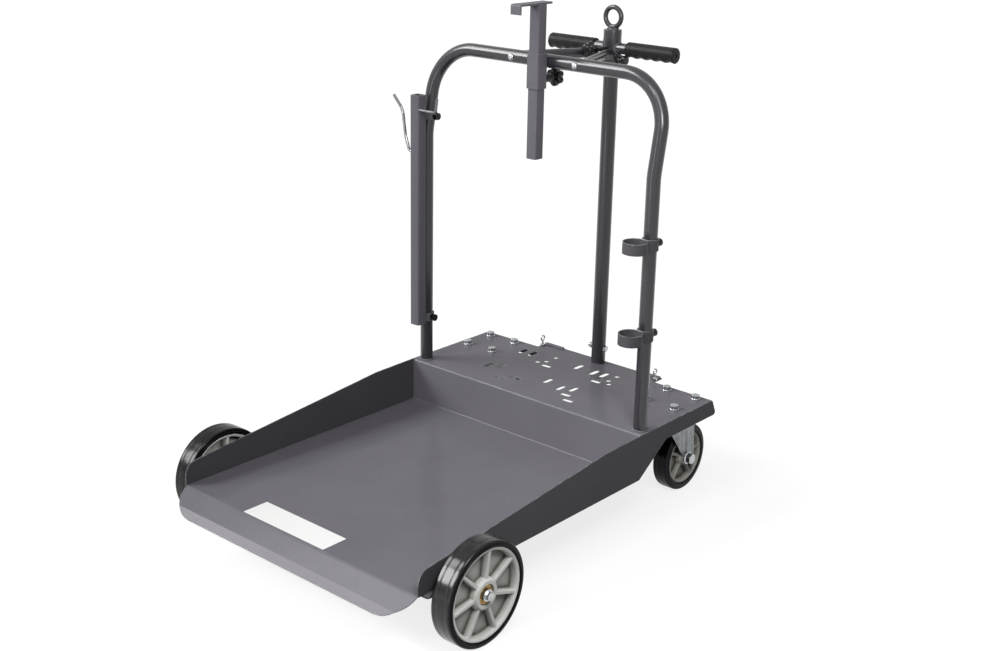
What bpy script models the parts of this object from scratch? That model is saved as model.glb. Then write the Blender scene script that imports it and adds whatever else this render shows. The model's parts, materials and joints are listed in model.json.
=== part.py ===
"""Drum trolley: a ramp tray on two fixed wheels and two casters, with a hoop frame and a handle mast.

Lengths are in metres and +Z is up. +X points to the right of someone who stands in front of the lip,
and the lip is at -Y. Sizes along Y are measured from the front face of the riser, and heights from the
ground. One empty carries every piece and puts the frame's origin on the ground under the middle of the
trolley's box.
"""
from collections import namedtuple
from math import cos, pi, radians, sin, sqrt, tan

import bmesh
import bpy
from mathutils import Matrix, Vector

# Clearances
SEAT = 0.0003
SLIDE_GAP = 0.0005
BOLT_GAP = 0.0004
OVERCUT = 0.004
WELD = 0.002

# Facets: sides of a large round piece, of a tube or bar, of a small fastener and of a knob
LARGE = 24
ROUND = 16
SMALL = 12
KNOB_POINTS = 18
LIP_STEPS = 12

# Tray sheet and its walls
TRAY_WIDTH = 0.640
FLOOR_DEPTH = 0.638
FLOOR_HEIGHT = 0.1224
DECK_HEIGHT = 0.2185
DECK_DEPTH = 0.2585
SHEET = 0.002
FOLD_RADIUS = 0.003
LIP_RUN = 0.0365
LIP_DROP = 0.0238
LIP_EDGE_RUN = 0.0125
LIP_EDGE_DROP = 0.0142
LIP_CORNER = 0.062
TONGUE_WIDTH = 0.332
TONGUE_REACH = 0.034
TONGUE_SHOULDER = 0.003
FLANGE_RUN = 0.0165
FLANGE_DROP = 0.033
FLANGE_GAP = 0.005
FLANGE_ROOT = 0.0075
FLANGE_SKIN = 0.0004
WALL_FRONT_RISE = 0.0434
WALL_FRONT_REACH = 0.002
WALL_FRONT_RADIUS = 0.027
WALL_KINK_SETBACK = 0.115
WALL_KINK_DROP = 0.0017
WALL_HEEL_RUN = 0.090
WALL_HEEL_DROP = 0.035
WALL_REAR_RADIUS = 0.006

# Slots and holes for pump plates in the deck: centre x, centre y
REAR_SLOTS = ((-0.170, 0.2135), (-0.143, 0.215), (-0.013, 0.2207), (0.0344, 0.2173), (0.060, 0.2194))
REAR_SLOT_LENGTH = 0.032
REAR_SLOT_WIDTH = 0.012
FRONT_SLOTS = ((-0.167, 0.090), (-0.1414, 0.103), (-0.0085, 0.106), (0.0387, 0.0915), (0.0643, 0.104))
FRONT_SLOT_LENGTH = 0.030
FRONT_SLOT_WIDTH = 0.0105
CROSS_SLOTS = ((0.071, 0.068), (0.095, 0.045), (0.070, 0.175))
CROSS_SLOT_LENGTH = 0.027
CROSS_SLOT_WIDTH = 0.0115
PLATE_HOLES = ((0.088, 0.198), (0.101, 0.182), (0.087, 0.231))
PLATE_HOLE_RADIUS = 0.0055

# Front wheels
WHEEL_RADIUS = 0.100
WHEEL_WIDTH = 0.045
WHEEL_RIM_RADIUS = 0.0877
WHEEL_SETBACK = 0.526
WHEEL_GAP = 0.013
WHEEL_RIM_WALL = 0.006
WHEEL_RIM_INSET = 0.002
WHEEL_RIBS = 7
WHEEL_RIB = 0.0057
WHEEL_WEB = 0.0068
WHEEL_HUB_RADIUS = 0.0265
WHEEL_HUB_WIDTH = 0.040
AXLE_RADIUS = 0.010
AXLE_BOLT_RADIUS = 0.006
AXLE_BOLT_LENGTH = 0.024
AXLE_BOLT_FLATS = 0.015
AXLE_BOLT_HEAD = 0.0075
AXLE_WASHER_RADIUS = 0.0115
AXLE_WASHER = 0.0025
BEARING_RADIUS = 0.0195
BEARING_WIDTH = 0.034
BEARING_RACE = 0.0025
BEARING_STEP = 0.002
BRACKET_LENGTH = 0.202
BRACKET_DEPTH = 0.058
BRACKET_PLATE = 0.005
BRACKET_GAP = 0.003
AXLE_BLOCK_WIDTH = 0.040
AXLE_BLOCK_THICKNESS = 0.030
AXLE_BLOCK_WALL = 0.006

# Tyre side walls: bead band, step, shoulder and crown
TYRE_BEAD = 0.005
TYRE_STEP = 0.0016
TYRE_STEP_RUN = 0.0005
TYRE_SHOULDER = 0.002
TYRE_SHOULDER_INSET = 0.002
TYRE_CROWN_INSET = 0.0046

# Casters
CASTER_RADIUS = 0.075
CASTER_WIDTH = 0.037
CASTER_RIM_RADIUS = 0.0585
CASTER_RIM_WALL = 0.0045
CASTER_RIM_INSET = 0.001
CASTER_RIBS = 5
CASTER_RIB = 0.0047
CASTER_WEB = 0.0056
CASTER_HUB_RADIUS = 0.016
CASTER_TRAIL = 0.047
CASTER_HUB_WIDTH = 0.041
CASTER_AXLE_RADIUS = 0.005
CASTER_NUT_FLATS = 0.0215
CASTER_NUT_HEIGHT = 0.0105
CASTER_FLANGE_RADIUS = 0.0142
CASTER_FLANGE = 0.002
KINGPIN_INSETS = {"left": 0.0615, "right": 0.0695}
KINGPIN_SETBACK = 0.0575
KINGPIN_RADIUS = 0.007
KINGPIN_HEAD_RADIUS = 0.013
KINGPIN_HEAD = 0.004
FORK_SHEET = 0.0025
FORK_CROWN_GAP = 0.011
FORK_CROWN = 0.006
FORK_HEAD_RADIUS = 0.036
FORK_FRONT = 0.031
FORK_REAR = 0.0655
FORK_TOE = 0.003
FORK_HEEL = 0.024
FORK_FOOT_DROP = 0.0125
FORK_FOOT_ROUND = 0.012
FORK_PLATE_CORNER = 0.010
FORK_HEAD_TAPER = 0.005
FORK_HEAD_BEVEL = 0.008
CASTER_PLATE = 0.005
CASTER_PLATE_LENGTH = 0.106
CASTER_PLATE_WIDTH = 0.100
CASTER_PLATE_CORNER = 0.010
CASTER_BOLT_X = 0.037
CASTER_BOLT_Y = 0.040
CASTER_BOLT_RADIUS = 0.004
CASTER_BOLT_FLATS = 0.0155
CASTER_BOLT_HEAD = 0.0095

# Hoop
HOOP_RADIUS = 0.014
TUBE_WALL = 0.002
LEG_INSET = 0.0214
LEG_SETBACK = 0.0233
KINK_HEIGHT = 0.740
HOOP_TOP = 0.923
HOOP_LEAN = radians(10.3)
HOOP_BEND = 0.1015
HOOP_KINK_BEND = 0.120

# Mast and handle
MAST_RADIUS = 0.016
MAST_OVERHANG = 0.0175
SPIGOT_LENGTH = 0.080
MAST_BOLT_RISE = 0.037
MAST_BOLT_RADIUS = 0.004
MAST_BOLT_FLATS = 0.013
MAST_BOLT_HEAD = 0.0055
MAST_NUT_HEIGHT = 0.0065
MAST_BOLT_TAIL = 0.006
SOCKET_WALL = 0.003
SOCKET_LENGTH = 0.080
SOCKET_CAP = 0.004
TEE_RISE = 0.006
TEE_BELOW_TOP = 0.038
TEE_RADIUS = 0.0115
TEE_REACH = 0.161
GRIP_START = 0.0415
GRIP_END = 0.164
GRIP_RADIUS = 0.0158
GRIP_FINGERS = 5
GRIP_RIDGE = 0.0022
GRIP_CHAMFER = 0.0015
EYE_RING_RADIUS = 0.0203
EYE_BAR_RADIUS = 0.0052
EYE_FOOT_RADIUS = 0.011
EYE_FOOT = 0.005

# Brace between hoop and mast
BRACE_SPREAD = 0.082
BRACE_RADIUS = 0.0105
BRACE_END_DROP = 0.0175
BRACE_END_LEAD = 0.004
BRACE_END_THICKNESS = 0.0045
BRACE_END_HEIGHT = 0.022
BRACE_TAPER = 0.030
BRACE_BEND = 0.016
BRACE_FLAT_LEAD = 0.036
BRACE_FLAT_DROP = 0.002
BRACE_PIN_RADIUS = 0.004
BRACE_PIN_FLATS = 0.013
BRACE_PIN_HEAD = 0.0055
BRACE_CAP_RADIUS = 0.010
BRACE_CAP_LENGTH = 0.0085
BRACE_WASHER = 0.006
BRACE_WASHER_RADIUS = 0.0065
BRACE_BOLT_RADIUS = 0.004
BRACE_BOLT_REACH = 0.012
BRACE_BOLT_HEAD_RADIUS = 0.0072
BRACE_BOLT_HEAD = 0.005

# Clamp knobs
STUD_RADIUS = 0.004
KNOB_RADIUS = 0.0195
KNOB_LOBES = 6
KNOB_LOBE_DEPTH = 0.0032
KNOB_THICKNESS = 0.016
KNOB_EDGE = 0.004
KNOB_ROOT_RADIUS = 0.0072
KNOB_NECK_RADIUS = 0.009
HOOK_KNOB_NECK = 0.036
HANDLE_KNOB_NECK = 0.010
HANDLE_STUD_REACH = 0.040

# Sliding drum hook
HOOK_TUBE_SIZE = 0.025
HOOK_TUBE_LENGTH = 0.308
HOOK_TUBE_RISE = 0.113
SLEEVE_WALL = 0.002
SLEEVE_LENGTH = 0.070
SLEEVE_RISE = 0.0176
SQUARE_CORNER = 0.003
HOOK_PLATE = 0.004
HOOK_PLATE_FRONT = 0.070
HOOK_PLATE_REAR = 0.028
HOOK_LIP_DROP = 0.016
HOOK_PLATE_BEND = 0.004
HOOK_PLATE_INNER_BEND = 0.001
HOOK_KNOB_DROP = 0.035

# Holder tube and hooks on the left leg
HOLDER_SIZE = 0.025
HOLDER_DROP = 0.099
HOLDER_LENGTH = 0.514
HOLDER_OFFSET = 0.0021
COLLAR_WALL = 0.0027
COLLAR_HEIGHT = 0.018
UPPER_COLLAR_INSET = 0.048
LOWER_COLLAR_INSET = 0.012
COLLAR_BLOCK_WIDTH = 0.012
ROD_HOOK_RADIUS = 0.0028
ROD_HOOK_INSET = 0.026
ROD_HOOK_SETBACK = 0.009
ROD_HOOK_REACH = 0.051
ROD_HOOK_DROP = 0.004
ROD_HOOK_RISE = 0.030
ROD_HOOK_BEND = 0.0085
WIRE_HOOK_RADIUS = 0.0033
WIRE_HOOK_INSET = 0.125
WIRE_HOOK_BEND = 0.010
WIRE_HOOK_CORNERS = ((0.014, 0.0), (0.0255, 0.0325), (0.0327, 0.081), (0.0387, 0.093), (0.0605, 0.116))

# Ring holders on the right leg
RING_HEIGHTS = {"upper": 0.607, "lower": 0.4215}
RING_RADIUS = 0.0255
RING_WALL = 0.0025
RING_HEIGHT = 0.0235
RING_TURN = radians(-10.0)
RING_INSET = 0.0004
SCREW_RADIUS = 0.0025
SCREW_HEAD_RADIUS = 0.0078
SCREW_HEAD = 0.010

# Chain eyes on the tongue
CHAIN_EYE_X = 0.160
CHAIN_EYE_SETBACK = 0.0135
CHAIN_EYE_RISE = 0.020
CHAIN_EYE_RING = 0.0058
CHAIN_EYE_WIRE = 0.0019
CHAIN_NUT_FLATS = 0.010
CHAIN_NUT_HEIGHT = 0.005
LUG_LENGTH = 0.055
LUG_WIDTH = 0.009
LUG_THICKNESS = 0.003
LUG_INSET = 0.002

# Sizes that follow from the driving ones
SIDES = {"left": -1, "right": 1}
SHEET_HALF = TRAY_WIDTH / 2 - SHEET - SEAT
LIP_REACH = LIP_RUN + LIP_EDGE_RUN
FLOOR_UNDER = FLOOR_HEIGHT - SHEET
DECK_UNDER = DECK_HEIGHT - SHEET
WHEEL_X = TRAY_WIDTH / 2 + WHEEL_GAP + WHEEL_WIDTH / 2
KINGPIN_Y = DECK_DEPTH - KINGPIN_SETBACK
CASTER_AXLE_Y = KINGPIN_Y + CASTER_TRAIL
LEG_X = TRAY_WIDTH / 2 - LEG_INSET
BAR_Y = LEG_SETBACK + tan(HOOP_LEAN) * (HOOP_TOP - KINK_HEIGHT)
MAST_Y = DECK_DEPTH + MAST_OVERHANG
EYE_Y = DECK_DEPTH + CHAIN_EYE_SETBACK
TEE_HEIGHT = HOOP_TOP + TEE_RISE
SOCKET_TOP = TEE_HEIGHT + TEE_BELOW_TOP
SOCKET_RADIUS = MAST_RADIUS + SEAT + SOCKET_WALL
CLAMP_HEIGHT = HOOP_TOP - BRACE_END_DROP
BRACE_FLAT_Y = MAST_Y - BRACE_FLAT_LEAD
BRACE_FLAT_HEIGHT = HOOP_TOP - BRACE_FLAT_DROP
BRACE_END_X = SOCKET_RADIUS + SEAT + BRACE_END_THICKNESS / 2
SLEEVE_SIZE = HOOK_TUBE_SIZE + 2 * SLIDE_GAP + 2 * SLEEVE_WALL
SLEEVE_Y = BAR_Y - HOOP_RADIUS - SEAT - SLEEVE_SIZE / 2
SLEEVE_TOP = HOOP_TOP + SLEEVE_RISE
SLEEVE_BOTTOM = SLEEVE_TOP - SLEEVE_LENGTH
HOOK_TUBE_TOP = HOOP_TOP + HOOK_TUBE_RISE
COLLAR_RADIUS = HOOP_RADIUS + SEAT + COLLAR_WALL
HOLDER_X = -LEG_X + HOLDER_OFFSET
HOLDER_Y = LEG_SETBACK - COLLAR_RADIUS - SEAT - HOLDER_SIZE / 2
HOLDER_TOP = HOOP_TOP - HOLDER_DROP
HOLDER_BOTTOM = HOLDER_TOP - HOLDER_LENGTH
UPPER_COLLAR_HEIGHT = HOLDER_TOP - UPPER_COLLAR_INSET
LOWER_COLLAR_HEIGHT = HOLDER_BOTTOM + LOWER_COLLAR_INSET
ROD_HOOK_HEIGHT = HOLDER_TOP - ROD_HOOK_INSET
WIRE_HOOK_HEIGHT = HOLDER_TOP - WIRE_HOOK_INSET
FRONT_END = -FLOOR_DEPTH - LIP_REACH
REAR_END = CASTER_AXLE_Y + CASTER_RADIUS
CENTRE_Y = (FRONT_END + REAR_END) / 2

# What sets a front wheel apart from a caster's wheel
Wheel = namedtuple("Wheel", "radius width rim_radius rim_wall rim_inset hub_radius hub_width ribs rib web")
FRONT_WHEEL = Wheel(WHEEL_RADIUS, WHEEL_WIDTH, WHEEL_RIM_RADIUS, WHEEL_RIM_WALL, WHEEL_RIM_INSET,
                    WHEEL_HUB_RADIUS, WHEEL_HUB_WIDTH, WHEEL_RIBS, WHEEL_RIB, WHEEL_WEB)
CASTER_WHEEL = Wheel(CASTER_RADIUS, CASTER_WIDTH, CASTER_RIM_RADIUS, CASTER_RIM_WALL, CASTER_RIM_INSET,
                     CASTER_HUB_RADIUS, CASTER_HUB_WIDTH, CASTER_RIBS, CASTER_RIB, CASTER_WEB)

# Finishes: colour, roughness, metallic
FINISHES = {
    "paint": ((0.125, 0.125, 0.130), 0.45, 0.1),
    "rubber": ((0.020, 0.020, 0.021), 0.75, 0.0),
    "rim": ((0.620, 0.620, 0.550), 0.55, 0.0),
    "zinc": ((0.620, 0.620, 0.610), 0.30, 1.0),
    "brass": ((0.520, 0.360, 0.130), 0.40, 1.0),
    "black_plastic": ((0.016, 0.016, 0.017), 0.45, 0.0),
}


def circle(radius, count=ROUND):
    """Points of a circle, anticlockwise from the first axis."""
    return [(radius * cos(2 * pi * i / count), radius * sin(2 * pi * i / count)) for i in range(count)]


def bore(radius, count=ROUND):
    """The outline of a round hole whose flats, and not its corners, lie at the radius."""
    return circle(radius / cos(pi / count), count)


def hexagon(across_flats, count=SMALL):
    """A hexagon sampled at the same angles as a circle of count points."""
    points = []
    for i in range(count):
        angle = 2 * pi * i / count
        from_flat = (angle + pi / 6) % (pi / 3) - pi / 6
        reach = across_flats / 2 / cos(from_flat)
        points.append((reach * cos(angle), reach * sin(angle)))
    return points


def star(radius, depth, count=KNOB_POINTS):
    """A knob's outline: a circle with lobes that fall back by depth between them."""
    points = []
    for i in range(count):
        angle = 2 * pi * i / count
        reach = radius - depth * (1 - cos(KNOB_LOBES * angle)) / 2
        points.append((reach * cos(angle), reach * sin(angle)))
    return points


def fillet(before, corner, after, radius, steps):
    """Points of the arc that rounds a corner between two straight runs."""
    if radius == 0:
        return [corner]
    back = (before - corner).normalized()
    ahead = (after - corner).normalized()
    half = back.angle(ahead) / 2
    centre = corner + (back + ahead).normalized() * (radius / sin(half))
    start = corner + back * (radius / tan(half)) - centre
    end = corner + ahead * (radius / tan(half)) - centre
    return [centre + turn_towards(start, end, i / steps) for i in range(steps + 1)]


def turn_towards(start, end, share):
    """The vector that lies the given share of the way round from start to end, at start's length."""
    angle = start.angle(end)
    axis = start.cross(end)
    return Matrix.Rotation(angle * share, 3, axis) @ start


def rounded_path(corners, radii, steps=5):
    """An open run of points through corners, each inner corner rounded by its radius."""
    corners = [Vector(corner) for corner in corners]
    points = [corners[0]]
    for i in range(1, len(corners) - 1):
        bend_steps = steps[i - 1] if isinstance(steps, list) else steps
        points += fillet(corners[i - 1], corners[i], corners[i + 1], radii[i - 1], bend_steps)
    points.append(corners[-1])
    return points


def rounded_outline(corners, radii, steps=4):
    """A closed flat outline with each corner rounded by its radius."""
    flat = [Vector((u, v, 0)) for u, v in corners]
    points = []
    for i, corner in enumerate(flat):
        arc = fillet(flat[i - 1], corner, flat[(i + 1) % len(flat)], radii[i], steps)
        points += [(p.x, p.y) for p in arc]
    return points


def rectangle(width, height, radius, steps=2):
    """A rectangle about the middle, with rounded corners."""
    u = width / 2
    v = height / 2
    return rounded_outline([(-u, -v), (u, -v), (u, v), (-u, v)], [radius] * 4, steps)


def slot(x, y, length, width, along_x):
    """The outline of a slot with round ends."""
    size = (length, width) if along_x else (width, length)
    return [(x + u, y + v) for u, v in rectangle(*size, width / 2 - SEAT)]


def ring_at(outline, along, axis, origin=(0, 0, 0)):
    """A flat outline set square to an axis, at a distance along it."""
    if axis == "X":
        points = [Vector((along, u, v)) for u, v in outline]
    elif axis == "Y":
        points = [Vector((u, along, v)) for u, v in outline]
    else:
        points = [Vector((u, v, along)) for u, v in outline]
    return [point + Vector(origin) for point in points]


def loft(rings, joined=False):
    """A closed skin over rings of equal counts, capped at both ends or joined from last to first."""
    shape = bmesh.new()
    loops = [[shape.verts.new(point) for point in ring] for ring in rings]
    pairs = list(zip(loops, loops[1:]))
    if joined:
        pairs.append((loops[-1], loops[0]))
    else:
        shape.faces.new(loops[0])
        shape.faces.new(loops[-1])
    for near, far in pairs:
        for i in range(len(near)):
            shape.faces.new((near[i - 1], near[i], far[i], far[i - 1]))
    bmesh.ops.recalc_face_normals(shape, faces=shape.faces)
    return shape


def stack(sections, axis, origin=(0, 0, 0), joined=False):
    """A loft over flat outlines, each given with its distance along the axis."""
    return loft([ring_at(outline, along, axis, origin) for outline, along in sections], joined)


def rod(radius, start, end, axis, origin=(0, 0, 0), count=ROUND):
    """A plain round bar along an axis."""
    return stack([(circle(radius, count), start), (circle(radius, count), end)], axis, origin)


def drill(radius, start, end, axis, origin=(0, 0, 0), count=ROUND):
    """A tool for a round hole, never closer to its axis than the radius."""
    return rod(radius / cos(pi / count), start, end, axis, origin, count)


def prism(outline, start, end, axis, origin=(0, 0, 0)):
    """A flat outline pulled out along an axis."""
    return stack([(outline, start), (outline, end)], axis, origin)


def box(low, high):
    """A box between two corners."""
    outline = [(low[0], low[1]), (high[0], low[1]), (high[0], high[1]), (low[0], high[1])]
    return prism(outline, low[2], high[2], "Z")


def pipe(outer, inner, start, end, axis, origin=(0, 0, 0)):
    """A straight hollow bar, open at both ends, between an outer and an inner outline."""
    return stack([(outer, start), (outer, end), (inner, end), (inner, start)], axis, origin, joined=True)


def path_rings(points, outline):
    """The outline carried along a path without twist, one ring at each point."""
    rings = []
    tangents = []
    for i in range(len(points)):
        tangents.append((points[min(i + 1, len(points) - 1)] - points[max(i - 1, 0)]).normalized())
    across = tangents[0].orthogonal().normalized()
    for i, point in enumerate(points):
        if i:
            across = tangents[i - 1].rotation_difference(tangents[i]) @ across
        upright = tangents[i].cross(across)
        rings.append([point + across * u + upright * v for u, v in outline])
    return rings


def bent_bar(points, radius, count=8):
    """A solid round bar along a path."""
    return loft(path_rings(points, circle(radius, count)))


def bent_tube(points, radius, wall, count=SMALL):
    """A hollow round tube along a path, open at both ends."""
    outer = path_rings(points, circle(radius, count))
    inner = path_rings(points, circle(radius - wall, count))
    return loft(outer + inner[::-1], joined=True)


def hoop_ring(ring_radius, bar_radius, centre, plane, count=16, bar_count=8):
    """A closed round ring of round bar that lies in the XZ or the YZ plane."""
    rings = []
    for i in range(count):
        angle = 2 * pi * i / count
        out = Vector((cos(angle), 0, sin(angle))) if plane == "XZ" else Vector((0, cos(angle), sin(angle)))
        side = Vector((0, 1, 0)) if plane == "XZ" else Vector((1, 0, 0))
        middle = Vector(centre) + out * ring_radius
        rings.append([middle + out * u + side * v for u, v in circle(bar_radius, bar_count)])
    return loft(rings, joined=True)


def gather(shapes):
    """Several separate shapes in one mesh, to be used together as one tool."""
    whole = bmesh.new()
    for shape in shapes:
        mesh = bpy.data.meshes.new("scratch")
        shape.to_mesh(mesh)
        shape.free()
        whole.from_mesh(mesh)
        bpy.data.meshes.remove(mesh)
    return whole


def scratch_object(shape):
    """An object that holds a shape while a Boolean is worked out."""
    mesh = bpy.data.meshes.new("scratch")
    shape.to_mesh(mesh)
    shape.free()
    thing = bpy.data.objects.new("scratch", mesh)
    bpy.context.scene.collection.objects.link(thing)
    return thing


def combine(shape, tool, operation):
    """The exact union or difference of two closed shapes."""
    base = scratch_object(shape)
    cutter = scratch_object(tool)
    modifier = base.modifiers.new("combine", "BOOLEAN")
    modifier.operation = operation
    modifier.object = cutter
    bpy.context.view_layer.update()
    graph = bpy.context.evaluated_depsgraph_get()
    mesh = bpy.data.meshes.new_from_object(base.evaluated_get(graph))
    result = bmesh.new()
    result.from_mesh(mesh)
    bmesh.ops.remove_doubles(result, verts=result.verts, dist=0.000002)
    for thing in (base, cutter):
        old = thing.data
        bpy.data.objects.remove(thing)
        bpy.data.meshes.remove(old)
    bpy.data.meshes.remove(mesh)
    return result


def cut(shape, *tools):
    """The shape with every tool's space taken out."""
    return combine(shape, gather(tools), "DIFFERENCE")


def join(shape, *others):
    """One solid of a shape and the others that overlap it."""
    for other in others:
        shape = combine(shape, other, "UNION")
    return shape


def finish_material(name, finish):
    """A Principled material for one piece."""
    colour, roughness, metallic = FINISHES[finish]
    material = bpy.data.materials.new(name)
    material.use_nodes = True
    shader = material.node_tree.nodes["Principled BSDF"]
    shader.inputs["Base Color"].default_value = (*colour, 1)
    shader.inputs["Roughness"].default_value = roughness
    shader.inputs["Metallic"].default_value = metallic
    return material


def add(name, shape, finish, carrier, pivot=(0, 0, 0)):
    """A named piece with its origin at the pivot, carried by the trolley's empty."""
    bmesh.ops.translate(shape, verts=shape.verts, vec=-Vector(pivot))
    mesh = bpy.data.meshes.new(name)
    shape.to_mesh(mesh)
    shape.free()
    mesh.shade_smooth()
    mesh.set_sharp_from_angle(angle=radians(35))
    mesh.materials.append(finish_material(name, finish))
    piece = bpy.data.objects.new(name, mesh)
    piece.location = pivot
    piece.parent = carrier
    bpy.context.scene.collection.objects.link(piece)


def tray_half_width(y):
    """Half the sheet's width at a place along Y: round lip corners, full width, then the tongue."""
    lip = -FLOOR_DEPTH - y
    if lip > 0:
        share = min(1, lip / LIP_REACH)
        return SHEET_HALF - LIP_CORNER * (1 - sqrt(1 - share * share))
    if y > DECK_DEPTH + TONGUE_SHOULDER / 2:
        return TONGUE_WIDTH / 2
    return SHEET_HALF


def tray_line():
    """The sheet's upper surface as a line from the lip's edge to the tongue's edge."""
    lip_y = -FLOOR_DEPTH - LIP_RUN
    lip_z = FLOOR_HEIGHT - LIP_DROP
    corners = [
        (0, FRONT_END, lip_z - LIP_EDGE_DROP),
        (0, lip_y, lip_z),
        (0, -FLOOR_DEPTH, FLOOR_HEIGHT),
        (0, 0, FLOOR_HEIGHT),
        (0, 0, DECK_HEIGHT),
        (0, DECK_DEPTH, DECK_HEIGHT),
        (0, DECK_DEPTH + TONGUE_SHOULDER, DECK_HEIGHT),
        (0, DECK_DEPTH + TONGUE_REACH, DECK_HEIGHT),
    ]
    outside = FOLD_RADIUS + SHEET
    line = rounded_path(corners, [outside, outside, FOLD_RADIUS, outside, 0, 0], steps=4)
    dense = [line[0]]
    steps = [sin(pi / 2 * i / LIP_STEPS) for i in range(1, LIP_STEPS)]
    for near, far in zip(line, line[1:]):
        for share in sorted(steps, reverse=True):
            y = -FLOOR_DEPTH - LIP_REACH * share
            if near.y + FOLD_RADIUS / 4 < y < far.y - FOLD_RADIUS / 4:
                dense.append(near.lerp(far, (y - near.y) / (far.y - near.y)))
        dense.append(far)
    return dense


def tray_sheet(carrier):
    """The bent sheet, with rear flanges, pump slots and bolt holes."""
    line = tray_line()
    rings = []
    for i, point in enumerate(line):
        back = (point - line[max(i - 1, 0)]).normalized()
        ahead = (line[min(i + 1, len(line) - 1)] - point).normalized()
        along = (back + ahead).normalized()
        under = point + Vector((0, along.z, -along.y)) * (SHEET / max(along.dot(ahead), along.dot(back)))
        half = tray_half_width(point.y)
        rings.append([Vector((-half, point.y, point.z)), Vector((half, point.y, point.z)),
                      Vector((half, under.y, under.z)), Vector((-half, under.y, under.z))])
    sheet = loft(rings)
    sheet = join(sheet, rear_flange(-1), rear_flange(1))
    low = DECK_UNDER - OVERCUT
    high = DECK_HEIGHT + OVERCUT
    outlines = [slot(x, y, REAR_SLOT_LENGTH, REAR_SLOT_WIDTH, False) for x, y in REAR_SLOTS]
    outlines += [slot(x, y, FRONT_SLOT_LENGTH, FRONT_SLOT_WIDTH, False) for x, y in FRONT_SLOTS]
    for label, side in SIDES.items():
        outlines += [slot(side * x, y, CROSS_SLOT_LENGTH, CROSS_SLOT_WIDTH, True) for x, y in CROSS_SLOTS]
        outlines += [round_hole(side * x, y, PLATE_HOLE_RADIUS) for x, y in PLATE_HOLES]
        outlines += [round_hole(x, y, CASTER_BOLT_RADIUS + BOLT_GAP) for x, y in caster_bolts(label)]
        outlines.append(round_hole(side * CHAIN_EYE_X, EYE_Y, CHAIN_EYE_WIRE + BOLT_GAP))
    add("tray_sheet", cut(sheet, *[prism(outline, low, high, "Z") for outline in outlines]), "paint", carrier)


def round_hole(x, y, radius):
    """The outline of a round hole in the deck."""
    return [(x + u, y + v) for u, v in bore(radius, 8)]


def rear_flange(side):
    """A slanted strip turned down from the deck's rear edge, beside the tongue."""
    near = TONGUE_WIDTH / 2 + FLANGE_GAP
    far = SHEET_HALF - SEAT
    top = DECK_HEIGHT - FLANGE_SKIN
    outline = [
        (DECK_DEPTH - FLANGE_ROOT, top),
        (DECK_DEPTH + FLANGE_SKIN, top),
        (DECK_DEPTH + FLANGE_RUN, DECK_HEIGHT - FLANGE_DROP),
        (DECK_DEPTH + FLANGE_RUN - SHEET, DECK_HEIGHT - FLANGE_DROP),
        (DECK_DEPTH - SHEET, DECK_UNDER + FLANGE_SKIN),
        (DECK_DEPTH - FLANGE_ROOT, DECK_UNDER + FLANGE_SKIN),
    ]
    return prism(outline, min(side * near, side * far), max(side * near, side * far), "X")


def side_wall(side, name, carrier):
    """A side plate: tray wall in front of the riser, deck flange behind it."""
    front = -FLOOR_DEPTH - WALL_FRONT_REACH
    heel = DECK_HEIGHT - WALL_HEEL_DROP
    corners = [
        (front, FLOOR_UNDER),
        (front, FLOOR_HEIGHT + WALL_FRONT_RISE),
        (-WALL_KINK_SETBACK, DECK_HEIGHT - WALL_KINK_DROP),
        (0, DECK_HEIGHT),
        (DECK_DEPTH, DECK_HEIGHT),
        (DECK_DEPTH + FLANGE_RUN, heel),
        (WALL_HEEL_RUN, heel),
        (0, FLOOR_UNDER),
    ]
    radii = [0, WALL_FRONT_RADIUS, 0, 0] + [WALL_REAR_RADIUS] * 4
    outer = side * TRAY_WIDTH / 2
    inner = side * (TRAY_WIDTH / 2 - SHEET)
    add(name, prism(rounded_outline(corners, radii, 6), inner, outer, "X"), "paint", carrier)


def front_axle(carrier):
    """The through axle, with a threaded bore for the wheel bolt in each end."""
    centre = (0, -WHEEL_SETBACK, WHEEL_RADIUS)
    end = WHEEL_X + WHEEL_WIDTH / 2 - AXLE_WASHER
    hole = bore(AXLE_BOLT_RADIUS + SEAT)
    bar = circle(AXLE_RADIUS)
    floor = end - AXLE_BOLT_LENGTH - 2 * SEAT
    shape = stack([(hole, -floor), (hole, -end), (bar, -end), (bar, end), (hole, end), (hole, floor)],
                  "X", centre)
    add("front_axle", shape, "zinc", carrier)


def axle_bracket(side, name, carrier):
    """A plate under the floor that reaches out to the wheel, with the block that holds the axle."""
    outer = WHEEL_X - WHEEL_WIDTH / 2 - BRACKET_GAP
    inner = outer - BRACKET_DEPTH
    top = FLOOR_UNDER - SEAT
    plate = rectangle(BRACKET_DEPTH, BRACKET_LENGTH, BRACKET_PLATE)
    middle = ((outer + inner) / 2 * side, -WHEEL_SETBACK, 0)
    shape = prism(plate, top - BRACKET_PLATE, top, "Z", middle)
    foot = WHEEL_RADIUS - AXLE_RADIUS - AXLE_BLOCK_WALL
    half = AXLE_BLOCK_WIDTH / 2
    corners = [(-half, top - WELD), (-half, foot), (half, foot), (half, top - WELD)]
    block = rounded_outline(corners, [0, AXLE_RADIUS, AXLE_RADIUS, 0])
    near = inner + BRACKET_PLATE
    far = near + AXLE_BLOCK_THICKNESS
    shape = join(shape, prism(block, side * near, side * far, "X", (0, -WHEEL_SETBACK, 0)))
    hole = drill(AXLE_RADIUS + SEAT, side * (near - OVERCUT), side * (far + OVERCUT), "X",
                 (0, -WHEEL_SETBACK, WHEEL_RADIUS))
    add(name, cut(shape, hole), "paint", carrier)


def turned(profile, centre, count):
    """A closed profile of radius and place along X, turned about the X axis through the centre."""
    return stack([(circle(radius, count), along) for radius, along in profile], "X", centre, joined=True)


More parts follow.
